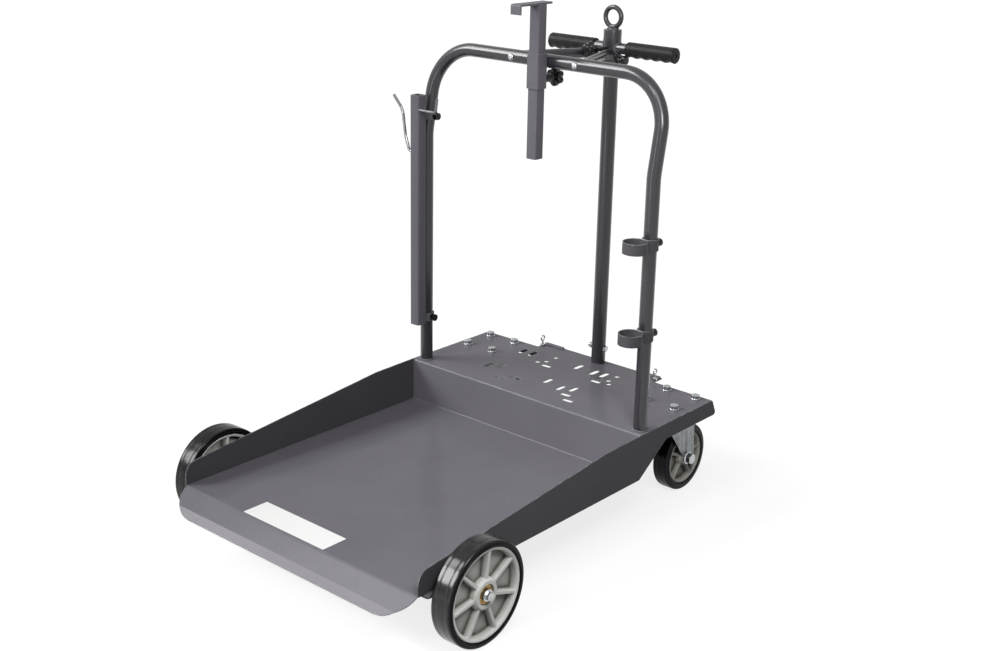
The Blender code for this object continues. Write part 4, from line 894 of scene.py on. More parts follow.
def hexagon(flats: float, low: float, high: float, axis: Axis, origin: Point, sides: int = 72) -> Patch:
    """A hexagon head whose top edge is turned to a cone.

    A hexagon's radius at an angle is half its flats over the cosine of the angle from the nearest flat.
    The cone takes off, at each angle, its slope times what that radius stands out over the flat top's edge.

    Args:
        flats: The width across the flats.
        low: Where the head starts along its axis.
        high: Where it ends.
        axis: The axis.
        origin: A point on the axis, from which the places are measured.
        sides: Points round.

    Returns:
        The head.
    """
    from_flat = (angles(sides) + np.pi / 6) % (np.pi / 3) - np.pi / 6
    out = flats / 2 / np.cos(from_flat)
    top = flats / 2 - HEX_CHAMFER
    shoulder = high - math.copysign(HEX_SLOPE, high - low) * (out - top)
    level = np.ones(sides)
    radii = np.stack([out, out, level * top, level * top * 0.55])
    along = np.stack([level * low, shoulder, level * high, level * high])
    return polar(radii, along, axis, origin)


def weld_bead(path: np.ndarray, radius: float, upright: Point | np.ndarray, ripple: float = 0.18) -> Patch:
    """A closed bead along a path, its thickness rippled as laid drops.

    The radius is scaled by 1 + ripple times a sine of the distance along the path, once for each drop.

    Args:
        path: The closed path.
        radius: The bead's radius.
        upright: A direction square to the path, or one for each point.
        ripple: The share of the radius that the drops add and take.

    Returns:
        The bead.
    """
    step = np.linalg.norm(np.roll(path, -1, axis=0) - path, axis=1)
    run = np.concatenate([[0.0], np.cumsum(step)[:-1]])
    drops = max(6, round(step.sum() / WELD_DROP))
    scale = 1 + ripple * np.sin(TURN * drops * run / step.sum())
    return sweep(path, ring_of(radius, 10)[None] * scale[:, None, None], upright, closed=True)


def round_bead(centre: Point, ring_radius: float, bead: float) -> Patch:
    """A weld bead that runs round an upright bar's foot."""
    path, upright = loop(centre, ring_radius, Axis.Z, 120)
    return weld_bead(path, bead, upright)


@dataclass
class Assembly:
    """A sub-assembly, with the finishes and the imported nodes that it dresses."""

    finishes: Finishes
    nodes: dict[str, bpy.types.Object]

    def dress(self, name: str, finish: Finish, body: str = FRAME, crease: Crease = Crease.PLAIN) -> None:
        """Stand a merged, smoothly shaded copy in for a node.

        Args:
            name: The node's name.
            finish: The finish.
            body: The body that carries it.
            crease: Which of its edges stay sharp.
        """
        source = self.nodes[name].data
        places = np.zeros(len(source.vertices) * 3, dtype=np.float32)
        source.vertices.foreach_get("co", places)
        corners = np.zeros(len(source.loops), dtype=np.int32)
        source.loops.foreach_get("vertex_index", corners)
        places = places.reshape(-1, 3)
        keys = np.round(places / MERGE_STEP).astype(np.int64)
        _, first, group = np.unique(keys, axis=0, return_index=True, return_inverse=True)
        faces = group.reshape(-1)[corners].reshape(-1, 3)
        whole = (faces != np.roll(faces, -1, axis=1)).all(axis=1)
        mesh = bpy.data.meshes.new(name + "_dressed")
        mesh.from_pydata(places[first].tolist(), [], faces[whole].tolist())
        mesh.update()
        settle(name + "_dressed", mesh, finish, body, name, crease)


@dataclass
class Tray(Assembly):
    """The ramp tray, its walls and the slotted deck, with a blank label by the lip."""

    floor_height: float = 0.1224
    label_middle: tuple[float, float] = (-0.034, RISER_Y - 0.60825)
    label_half: tuple[float, float] = (0.1115, 0.02875)
    label_corner: float = 0.002
    label_thickness: float = 0.0003
    label_edge: float = 0.0001

    def build(self) -> None:
        """Dress the sheet, walls, brackets and lugs, and lay the label."""
        self.dress("tray_sheet", self.finishes.tray, crease=Crease.SHEET)
        for side in Side:
            self.dress(f"side_wall_{side.label}", self.finishes.wall, crease=Crease.SHEET)
        for kind in ("axle_bracket", "eye_lug"):
            for side in Side:
                self.dress(f"{kind}_{side.label}", self.finishes.paint)
        self.label()

    def label(self) -> None:
        """A thin film on the floor: a rounded outline in four rows, the outer two drawn in by the edge."""
        u, v = self.label_half
        outline = np.array(softened([(-u, -v), (u, -v), (u, v), (-u, v)], self.label_corner, 5, closed=True))
        inner = outline * (1 - self.label_edge / np.linalg.norm(outline, axis=1, keepdims=True))
        edge, top = self.label_edge, self.label_thickness
        rows = [np.insert(shape, 2, height, axis=1) for shape, height in
                ((inner, 0.0), (outline, edge), (outline, top - edge), (inner, top))]
        film = Patch.grid(np.array(rows) + np.array([*self.label_middle, self.floor_height]))
        add_piece("blank_label", film, self.finishes.label)


@dataclass
class WheelForm:
    """The sizes of a tyre and its moulded centre."""

    radius: float
    width: float
    rim_radius: float
    rim_half: float
    hub_radius: float
    hub_half: float
    bore: float
    ribs: int
    web_half: float
    land: float
    rib_root: float
    rib_tip: float
    groove: float
    hub_skirt: float = 0.0030
    dirt_reach: float = 0.0055
    first_rib: float = math.radians(84.0)
    sink: tuple[float, ...] = (0.0, 0.04, 0.12, 0.92, 1.0)

    def build(self, kind: str, side: Side, centre: Point, rim: Finish, polish: float) -> None:
        """Build a tyre and its centre on a side's wheel.

        Args:
            kind: The word that starts the names of this kind of wheel.
            side: The wheel's side.
            centre: The wheel's middle.
            rim: The centre's finish.
            polish: How far the tyre's tread shines.
        """
        end, body = side.label, f"{kind}_wheel_{side.label}"
        rubber = TyreRubber(f"{kind}_tyre_rubber_{end}", centre, self.radius, polish).build()
        add_piece(f"{kind}_wheel_tyre_{end}", self.tyre(centre), rubber, body, f"{kind}_tyre_{end}")
        add_piece(f"{kind}_wheel_centre_{end}", self.centre_piece(centre), rim, body, f"{kind}_rim_{end}",
                  Crease.MOULDED)

    def tyre(self, centre: Point) -> Patch:
        """A tyre: a flat tread with two grooves, a step below each shoulder and a raised bead by the rim.

        Args:
            centre: The wheel's middle.

        Returns:
            The closed skin of the profile turned about X.
        """
        half, rim, tread, groove = self.width / 2, self.rim_radius, self.radius, self.groove
        depth = tread - rim
        side = [(rim + 0.0004, half - 0.0006), (rim + 0.30 * depth, half), (rim + 0.42 * depth, half),
                (rim + 0.46 * depth, half - 0.0016), (tread - 0.0020, half - 0.0020),
                (tread - 0.0007, half - 0.0030), (tread - 0.0001, half - 0.0048), (tread, groove + 0.0016),
                (tread - 0.0004, groove + 0.0006), (tread - 0.0004, groove - 0.0006),
                (tread, groove - 0.0016)]
        profile = side + [(r, -along) for r, along in reversed(side)]
        return lathe(softened(profile, 0.0012, closed=True), Axis.X, centre, 160, closed=True)

    @property
    def pocket(self) -> tuple[float, float]:
        """The radii between which the pockets lie."""
        return self.hub_radius + self.hub_skirt, self.rim_radius - self.land

    def rows(self) -> tuple[np.ndarray, np.ndarray]:
        """The radii of the centre's rows, and which of them lie in the pockets.

        Returns:
            Radii from the bore to the rim's edge, and a number from 0, land, to 1, pocket floor.
        """
        start, stop = self.pocket
        hub, rim, sink = self.hub_radius, self.rim_radius, np.array(self.sink)
        soft = np.array([0.0, 0.0004, 0.0009, 0.0020, 0.0032])
        inside = np.linspace(start + 0.0070, stop - 0.0070, 8)
        radii = np.concatenate([[self.bore, self.bore + 0.0006, hub - 0.0008, hub], start + soft, inside,
                                stop - soft[::-1], [stop + 0.0010, rim - 0.0034, rim - 0.0012, rim]])
        depth = np.concatenate([np.zeros(4), sink, np.ones(8), sink[::-1], np.zeros(4)])
        return radii, depth

    def columns(self, radii: np.ndarray) -> tuple[np.ndarray, np.ndarray]:
        """The angles of the centre's columns at every row, and which of them lie in the pockets.

        Near a rib the columns keep their distance from the rib's middle line, so they bunch up towards the
        rim, and between ribs they are spread evenly.

        Args:
            radii: The rows' radii.

        Returns:
            Angles, rows by columns, and a number from 0, rib, to 1, pocket, for each column.
        """
        sector, sink = TURN / self.ribs, np.array(self.sink)
        grow = np.clip((radii - self.hub_radius) / (self.rim_radius - self.hub_radius), 0, 1)
        half_rib = self.rib_root + (self.rib_tip - self.rib_root) * grow
        soft = np.array([0.0, 0.0003, 0.0007, 0.0018, 0.0030])
        near = (half_rib[:, None] + soft) / radii[:, None]
        near = np.minimum(near, 0.46 * sector * (0.80 + 0.05 * np.arange(5)))
        share = np.linspace(0.0, 1.0, 12)[1:-1]
        gap = near[:, -1:] + (sector - 2 * near[:, -1:]) * share
        one = np.concatenate([np.zeros((len(radii), 1)), near, gap, sector - near[:, ::-1]], axis=1)
        depth_one = np.concatenate([[0.0], sink, np.ones(len(share)), sink[::-1]])
        turns = np.arange(self.ribs) * sector + self.first_rib
        return (one[:, None, :] + turns[None, :, None]).reshape(len(radii), -1), np.tile(depth_one, self.ribs)

    def centre_piece(self, centre: Point) -> Patch:
        """The moulded centre: both faces are height fields over the rows and columns, joined at rim and bore.

        The height is the land's less the pocket's depth times both numbers of sinking, and the hub and the
        rim's lip stand at their own heights. The UV map holds the sinking and a painted shade that falls off
        by a natural power of the distance from the pocket's walls.

        Args:
            centre: The wheel's middle.

        Returns:
            The closed skin.
        """
        radii, row_depth = self.rows()
        turned, column_depth = self.columns(radii)
        hub, rim, edge = self.hub_radius, self.rim_radius, self.rim_half
        inner, outer = self.pocket
        top = np.interp(radii, [hub, inner, outer, rim - 0.0034, rim - 0.0012, rim],
                        [self.hub_half, edge - 0.0042, edge - 0.0024, edge - 0.0004, edge, edge - 0.0008])
        slope = np.interp(radii, [hub, rim], [self.web_half + 0.0012, self.web_half])
        sunk = row_depth[:, None] * column_depth[None, :]
        height = top[:, None] - (top - slope)[:, None] * sunk
        reach = radii[:, None]
        face = np.stack([height, reach * np.cos(turned), reach * np.sin(turned)], axis=-1)
        back = face * np.array([-1.0, 1.0, 1.0])
        skin = Patch.grid(np.concatenate([face, back[::-1]]) + np.array(centre), wrap_rows=True)
        sector = TURN / self.ribs
        turn = (turned - turned[:, :1]) % sector
        from_rib = reach * np.minimum(turn, sector - turn) - self.rib_root
        from_wall = np.minimum(np.minimum(reach - inner, outer - reach), from_rib)
        # Painted shade: darkest at the pocket walls, fading with distance from them
        shade = sunk * np.exp(-np.clip(from_wall, 0.0, 1.0) / self.dirt_reach)
        pair = np.stack([sunk, shade], axis=-1)
        skin.uv = np.concatenate([pair, pair[::-1]]).reshape(-1, 2)
        return skin


@dataclass
class FrontWheels(Assembly):
    """The two fixed wheels with their roller bearings and end bolts."""

    x: float = 0.3555
    y: float = RISER_Y - 0.526
    bearing_radius: float = 0.0180
    bearing_bore: float = 0.0112
    bearing_half: float = 0.0170
    bearing_groove: float = 0.0018
    roller_radius: float = 0.0016
    rollers: int = 14
    washer_face: float = 0.0203
    washer_radius: float = 0.0115
    washer_bore: float = 0.0070
    washer_thickness: float = 0.0025
    bolt_flats: float = 0.015
    bolt_height: float = 0.0075
    bolt_radius: float = 0.0060
    polish: dict[Side, float] = field(default_factory=lambda: {Side.LEFT: 0.30, Side.RIGHT: 0.65})
    form: WheelForm = field(default_factory=lambda: WheelForm(
        radius=0.100, width=0.045, rim_radius=0.0877, rim_half=0.0205, hub_radius=0.0265, hub_half=0.0200,
        bore=0.0198, ribs=7, web_half=0.0034, land=0.0062, rib_root=0.0032, rib_tip=0.0024, groove=0.0095))

    def build(self) -> None:
        """Build both wheels: tyre, centre, bearing cage with rollers, bolt and washer."""
        coat(self.nodes["front_axle"], self.finishes.zinc)
        for side in Side:
            centre = (side.value * self.x, self.y, self.form.radius)
            self.form.build("front", side, centre, self.finishes.rim, self.polish[side])
            self.bearing(side, centre)
            self.bolt(side, centre)

    def bearing(self, side: Side, centre: Point) -> None:
        """A cage ring with a groove in its outer face, and a circle of round-ended rollers in the groove.

        Args:
            side: The side.
            centre: The wheel's middle.
        """
        outer, inner, half = self.bearing_radius, self.bearing_bore, self.bearing_half
        size = self.roller_radius
        floor = half - self.bearing_groove
        cage = [(outer, half), (outer - 0.0020, half), (outer - 0.0020, floor), (inner + 0.0014, floor),
                (inner + 0.0014, half), (inner, half), (inner, -half), (outer, -half)]
        ring = lathe(softened(cage, 0.0004, 2, True), Axis.X, centre, 64, True, side.value)
        body = f"front_wheel_{side.label}"
        add_piece(f"bearing_cage_{side.label}", ring, self.finishes.brass, body,
                  f"front_bearing_{side.label}")
        roller = [(0.0002, half - 0.0006), (size - 0.0004, half - 0.0006), (size, half - 0.0010),
                  (size, floor - 0.001)]
        places, _ = loop(centre, (outer + inner) / 2, Axis.X, self.rollers)
        parts = [lathe(roller, Axis.X, place, 16, sign=side.value) for place in places]
        add_piece(f"bearing_rollers_{side.label}", Patch.together(*parts), self.finishes.brass, body)

    def bolt(self, side: Side, centre: Point) -> None:
        """The hexagon bolt with its washer in the axle's end.

        Args:
            side: The side.
            centre: The wheel's middle.
        """
        sign, face, edge, bore = side.value, self.washer_face, self.washer_radius, self.washer_bore
        top = face + self.washer_thickness
        ring = [(bore, face), (edge - 0.0003, face), (edge, face + 0.0004), (edge, top - 0.0004),
                (edge - 0.0004, top), (bore, top)]
        washer = lathe(ring, Axis.X, centre, 64, sign=sign)
        head = hexagon(self.bolt_flats, sign * top, sign * (top + self.bolt_height), Axis.X, centre)
        shank = rod(self.bolt_radius, sign * (face - 0.024), sign * (face + 0.001), Axis.X, centre)
        add_piece(f"axle_end_bolt_{side.label}", Patch.together(head, washer, shank), self.finishes.zinc,
                  replaces=f"axle_bolt_{side.label}", crease=Crease.HEXAGON)


@dataclass
class Casters(Assembly):
    """The two swivel casters and the bolts that hold their plates under the deck."""

    x: dict[Side, float] = field(default_factory=lambda: {Side.LEFT: -0.2585, Side.RIGHT: 0.2505})
    pin_y: float = RISER_Y + 0.201
    trail: float = 0.047
    polish: float = 0.12
    bolt_x: float = 0.037
    bolt_y: float = 0.040
    bolt_flats: float = 0.0157
    bolt_height: float = 0.0098
    washer_radius: float = 0.0104
    washer_bore: float = 0.0045
    washer_thickness: float = 0.0016
    fork_face: float = 0.0236
    flange_radius: float = 0.0142
    flange_thickness: float = 0.0020
    nut_flats: float = 0.0215
    nut_height: float = 0.0105
    form: WheelForm = field(default_factory=lambda: WheelForm(
        radius=0.075, width=0.037, rim_radius=0.0585, rim_half=0.0175, hub_radius=0.0160, hub_half=0.0202,
        bore=0.0056, ribs=5, web_half=0.0028, land=0.0046, rib_root=0.0028, rib_tip=0.0018, groove=0.0075))

    def build(self) -> None:
        """Build both casters: wheel, fork, axle bolt, plate and deck bolts."""
        for side in Side:
            centre = (self.x[side], self.pin_y + self.trail, self.form.radius)
            self.form.build("caster", side, centre, self.finishes.caster_rim, self.polish)
            fork = f"caster_fork_{side.label}"
            self.dress(fork, self.finishes.fork, fork)
            self.axle(side, centre, fork)
            self.dress(f"caster_plate_{side.label}", self.finishes.zinc)
            coat(self.nodes[f"caster_kingpin_{side.label}"], self.finishes.zinc)
            self.deck_bolts(side)

    def axle(self, side: Side, centre: Point, body: str) -> None:
        """The axle bolt: a flanged hexagon on both sides of the fork.

        Args:
            side: The side.
            centre: The wheel's middle.
            body: The body that carries it.
        """
        face, edge = self.fork_face, self.flange_radius
        top = face + self.flange_thickness
        parts = [rod(0.005, -face, face, Axis.X, centre)]
        flange = [(0.0060, face), (edge - 0.0002, face), (edge, face + 0.0006), (edge - 0.0024, top),
                  (0.0060, top)]
        for sign in (-1, 1):
            parts.append(lathe(flange, Axis.X, centre, sign=sign))
            low, high = sign * (top - 0.0005), sign * (top + self.nut_height)
            parts.append(hexagon(self.nut_flats, low, high, Axis.X, centre))
        add_piece(f"caster_axle_bolt_{side.label}", Patch.together(*parts), self.finishes.zinc, body,
                  f"caster_axle_{side.label}", Crease.HEXAGON)

    def deck_bolts(self, side: Side) -> None:
        """Chamfered hexagon heads with washers over the four plate bolts.

        Args:
            side: The side.
        """
        base, edge, bore = DECK + SEAT, self.washer_radius, self.washer_bore
        top = base + self.washer_thickness
        ring = [(bore, base), (edge - 0.0002, base), (edge, base + 0.0003), (edge, top - 0.0003),
                (edge - 0.0003, top), (bore, top)]
        parts = []
        for u in (-1, 1):
            for v in (-1, 1):
                place = (self.x[side] + u * self.bolt_x, self.pin_y + v * self.bolt_y, 0.0)
                parts.append(lathe(ring, Axis.Z, place, 40))
                parts.append(hexagon(self.bolt_flats, top - 0.0004, base + self.bolt_height, Axis.Z, place))
        add_piece(f"deck_bolts_{side.label}", Patch.together(*parts), self.finishes.zinc,
                  crease=Crease.HEXAGON)


@dataclass
class HoopFrame(Assembly):
    """The bent tube frame, its foot welds and the two dome bolts in its bar."""

    leg_x: float = 0.2986
    leg_y: float = RISER_Y + 0.0233
    kink: float = 0.740
    lean: float = math.radians(10.3)
    bend: float = 0.1015
    kink_bend: float = 0.120
    radius: float = 0.014
    weld: float = 0.0016
    dome_radius: float = 0.0072
    dome_height: float = 0.0050
    bolt_radius: float = 0.0040
    bolt_length: float = 0.0300

    @property
    def bar_y(self) -> float:
        """Where the bar's axis lies along Y."""
        return self.leg_y + math.tan(self.lean) * (BAR_TOP - self.kink)

    def build(self) -> None:
        """Build the tube, welds and bolts."""
        x, y = self.leg_x, self.leg_y
        leg = [(y, DECK + SEAT), (y, self.kink), (self.bar_y, BAR_TOP)]
        corners = [(-x, *place) for place in leg] + [(x, *place) for place in reversed(leg)]
        path = bent(corners, [self.kink_bend, self.bend, self.bend, self.kink_bend], 18)
        tube = sweep(path, ring_of(self.radius, 40), (0.0, math.cos(self.lean), -math.sin(self.lean)))
        add_piece("hoop_tube", tube, self.finishes.tube, replaces="hoop", crease=Crease.TUBE)
        for side in Side:
            bead = round_bead((side.value * x, y, DECK + 0.0012), self.radius + 0.0002, self.weld)
            add_piece(f"leg_weld_{side.label}", bead, self.finishes.paint)
            self.dome_bolt(side)

    def dome_bolt(self, side: Side) -> None:
        """A round-headed bolt through the bar: the head's profile is a quarter ellipse.

        Args:
            side: The side.
        """
        seat, size = self.bar_y - self.radius, self.bolt_radius
        head = [(self.dome_radius * math.cos(a) + 1e-5, seat - self.dome_height * math.sin(a))
                for a in np.linspace(np.pi / 2, 0.0, 9)]
        profile = head + [(size, seat), (size, seat + self.bolt_length)]
        bolt = lathe(profile, Axis.Y, (side.value * BRACE_X, 0.0, BAR_TOP), 40)
        add_piece(f"bar_bolt_{side.label}", bolt, self.finishes.zinc, replaces=f"brace_bolt_{side.label}")


@dataclass
class StarKnob:
    """A six-lobed clamp knob on a stud."""

    finish: Finish
    radius: float = 0.0195
    lobe_depth: float = 0.0036
    thickness: float = 0.016
    neck_radius: float = 0.009
    root_radius: float = 0.0072
    stud_radius: float = 0.004
    lobes: int = 6

    def build(self, name: str, neck: float, place: tuple[float, float], sign: int, tail: float,
              node: str) -> None:
        """Build a knob.

        The outline's radius is the knob's less the lobes' depth times a smooth dip between lobes.

        Args:
            name: The piece's name.
            neck: The neck's length.
            place: Where the neck starts along Y, and the height of the knob's axis.
            sign: The way that the knob points along Y.
            tail: How far the stud runs behind the neck.
            node: The node that it stands for, which is also the body that carries it.
        """
        seat, height = place
        origin = (0.0, seat, height)
        dip = ((1 - np.cos(self.lobes * angles(144))) / 2) ** 1.6
        face, edge, hub, root = neck + self.thickness, self.radius, self.neck_radius, self.root_radius
        table = np.array([
            (root, 0.0, 0.0), (root + 0.0006, 0.0012, 0.0), (hub, neck, 0.0),
            (edge - 0.0042, neck + 0.0002, 0.6), (edge - 0.0014, neck + 0.0012, 1.0),
            (edge - 0.0003, neck + 0.0032, 1.0), (edge, neck + 0.0060, 1.0),
            (edge - 0.0002, face - 0.0040, 1.0), (edge - 0.0012, face - 0.0014, 1.0),
            (edge - 0.0036, face - 0.0002, 0.8), (hub + 0.0012, face, 0.0), (hub, face + 0.0004, 0.0),
            (hub - 0.0008, face + 0.0018, 0.0), (hub - 0.0022, face + 0.0020, 0.0)])
        radii = table[:, :1] - self.lobe_depth * table[:, 2:] * dip[None, :]
        along = np.repeat(sign * table[:, 1:2], len(dip), axis=1)
        add_piece(name, polar(radii, along, Axis.Y, origin), self.finish, node, node, Crease.KNOB)
        thread = self.stud_radius
        stud = [(thread - 0.0006, -tail), (thread, 0.0006 - tail), (thread, 0.002)]
        add_piece(name + "_stud", lathe(stud, Axis.Y, origin, 32, sign=sign), self.finish, node)


@dataclass
class HandleMast(Assembly):
    """The mast with its socket, cross bar, grips, lifting eye and bolts."""

    radius: float = 0.016
    foot_gap: float = 0.0030
    socket_top: float = 0.967
    socket_length: float = 0.080
    mast_sink: float = 0.0043
    bar_radius: float = 0.0115
    bar_reach: float = 0.161
    bar_weld: float = 0.0019
    grip_start: float = 0.0415
    grip_end: float = 0.164
    grip_radius: float = 0.0158
    grip_pitch: float = 0.0062
    grip_diamonds: float = 14.0
    fingers: int = 5
    finger_ridge: float = 0.0022
    eye_radius: float = 0.0203
    eye_bar: float = 0.0052
    eye_foot: float = 0.0110
    bolt_rise: float = 0.037
    bolt_flats: float = 0.013
    bolt_head: float = 0.0055
    bolt_radius: float = 0.0040
    nut_height: float = 0.0065
    cap_radius: float = 0.0100
    cap_height: float = 0.0085
    collar_height: float = 0.0060

    def build(self) -> None:
        """Build the mast and all that it carries."""
        axis = (0.0, MAST_Y, 0.0)
        tube = rod(self.radius, DECK + self.foot_gap, self.socket_top - self.mast_sink, Axis.Z, axis, 48)
        add_piece("mast_tube", tube, self.finishes.tube, replaces="mast", crease=Crease.TUBE)
        self.tee(axis)
        self.eye(axis)
        for side in Side:
            self.grip(side)
        self.pin()
        self.foot_bolt()
        coat(self.nodes["mast_spigot"], self.finishes.paint)

    def tee(self, axis: Point) -> None:
        """Socket and cross bar, with a bead where they meet: the bar's circle pushed out onto the socket.

        Args:
            axis: A point on the mast's axis.
        """
        top, size = self.socket_top, self.bar_radius
        low = top - self.socket_length
        shape = [(self.radius + SEAT, low), (SOCKET_RADIUS, low), (SOCKET_RADIUS, top), (self.eye_foot, top)]
        socket = lathe(softened(shape, 0.0012, 3), Axis.Z, axis, 56)
        bar = rod(size, -self.bar_reach, self.bar_reach, Axis.X, (0.0, MAST_Y, HANDLE_HEIGHT), 48)
        add_piece("handle_socket", Patch.together(socket, bar), self.finishes.tube, replaces="handle_tee",
                  crease=Crease.TUBE)
        path, _ = loop((0.0, MAST_Y, HANDLE_HEIGHT), size, Axis.X, 160)
        radial = np.insert(ring_of(1.0, 160), 0, 0.0, axis=1)
        out = np.sqrt(SOCKET_RADIUS ** 2 - (size * radial[:, 1]) ** 2)
        for side in Side:
            path[:, 0] = side.value * out
            add_piece(f"bar_weld_{side.label}", weld_bead(path, self.bar_weld, radial), self.finishes.paint)

    def eye(self, axis: Point) -> None:
        """A forged ring with a collar and a weld bead on the socket's top.

        Args:
            axis: A point on the mast's axis.
        """
        base, foot = self.socket_top + SEAT, self.eye_foot
        path, upright = loop((0.0, MAST_Y, base + 0.005 + self.eye_radius), self.eye_radius, Axis.Y, 96)
        ring = sweep(path, ring_of(self.eye_bar, 28), upright, closed=True)
        shape = [(foot, base), (foot, base + 0.0025), (0.0075, base + 0.0050), (0.0060, base + 0.0066)]
        collar = lathe(softened(shape, 0.0015), Axis.Z, axis)
        add_piece("lifting_ring", Patch.together(ring, collar), self.finishes.tube, replaces="lifting_eye",
                  crease=Crease.TUBE)
        bead = round_bead((0.0, MAST_Y, base + 0.0008), foot + 0.0002, 0.0016)
        add_piece("eye_weld", bead, self.finishes.paint)

    def grip(self, side: Side) -> None:
        """A rubber sleeve: round above, with finger waves below, rounded ends and a vent in the outer end.

        The radius is the grip's, plus a wave along the axis weighted by how far a point faces down.

        Args:
            side: The side.
        """
        rows, columns = 120, 64
        share = np.linspace(0.0, 1.0, rows)
        angle = angles(columns)
        down = np.clip(-np.sin(angle), 0.0, 1.0)
        wave = (np.cos(TURN * self.fingers * share) - 1) / 2
        length = self.grip_end - self.grip_start
        end = np.minimum(share, 1 - share) * length
        round_end = 1 - 0.16 * np.clip(1 - end / 0.0028, 0.0, 1.0) ** 2
        ridge = self.finger_ridge * (wave[:, None] + 0.5) * down[None, :]
        radii = (self.grip_radius + ridge) * round_end[:, None]
        vent = np.array([(0.0034, 0.0), (0.0030, 0.0006), (0.0028, 0.0050)])
        radii = np.vstack([radii, np.repeat(vent[:, :1], columns, axis=1)])
        places = np.concatenate([self.grip_start + length * share, self.grip_end - vent[:, 1]])
        along = np.repeat(side.value * places[:, None], columns, axis=1)
        skin = polar(radii, along, Axis.X, (0.0, MAST_Y, HANDLE_HEIGHT))
        u = np.repeat(share * length / self.grip_pitch, columns)
        v = np.tile(angle / TURN * self.grip_diamonds, rows)
        skin.uv = np.vstack([np.stack([u, v], axis=1), np.zeros((len(skin.points) - len(u), 2))])
        add_piece(f"hand_grip_{side.label}", skin, self.finishes.grip, replaces=f"grip_{side.label}")

    def pin(self) -> None:
        """The bolt through arms, socket and mast, with a black capped nut on the right."""
        face = SOCKET_RADIUS + ARM_THICKNESS + 2 * SEAT
        origin = (0.0, MAST_Y, PIN_HEIGHT)
        start, wide, size = face + self.collar_height, 0.0065, self.cap_radius
        shank = rod(self.bolt_radius, -face - 0.001, face + 0.001, Axis.X, origin)
        head = hexagon(self.bolt_flats, -face, -face - self.bolt_head, Axis.X, origin)
        collar = lathe([(0.0050, face), (wide - 0.0001, face), (wide, face + 0.0004), (wide, start),
                        (0.0050, start)], Axis.X, origin, 40)
        add_piece("brace_cross_bolt", Patch.together(shank, head, collar), self.finishes.zinc,
                  crease=Crease.HEXAGON)
        top = start + self.cap_height
        cap = softened([(0.0060, start), (size, start), (size, top), (0.0020, top)], 0.0018, 5)
        add_piece("brace_cap_nut", lathe(cap, Axis.X, origin), self.finishes.black, replaces="brace_pin")

    def foot_bolt(self) -> None:
        """The cross bolt and nut at the mast's foot."""
        origin = (0.0, MAST_Y, DECK + self.bolt_rise)
        seat, size = self.radius + SEAT, self.bolt_radius
        head = hexagon(self.bolt_flats, seat, seat + self.bolt_head, Axis.X, origin)
        profile = [(size - 0.0006, -seat - 0.0125), (size, -seat - 0.0119), (size, seat)]
        shank = lathe(profile, Axis.X, origin, 32)
        add_piece("mast_cross_bolt", Patch.together(head, shank), self.finishes.zinc, replaces="mast_bolt",
                  crease=Crease.HEXAGON)
        nut = hexagon(self.bolt_flats, -seat, -seat - self.nut_height, Axis.X, origin)
        add_piece("mast_cross_nut", nut, self.finishes.zinc, replaces="mast_nut", crease=Crease.HEXAGON)


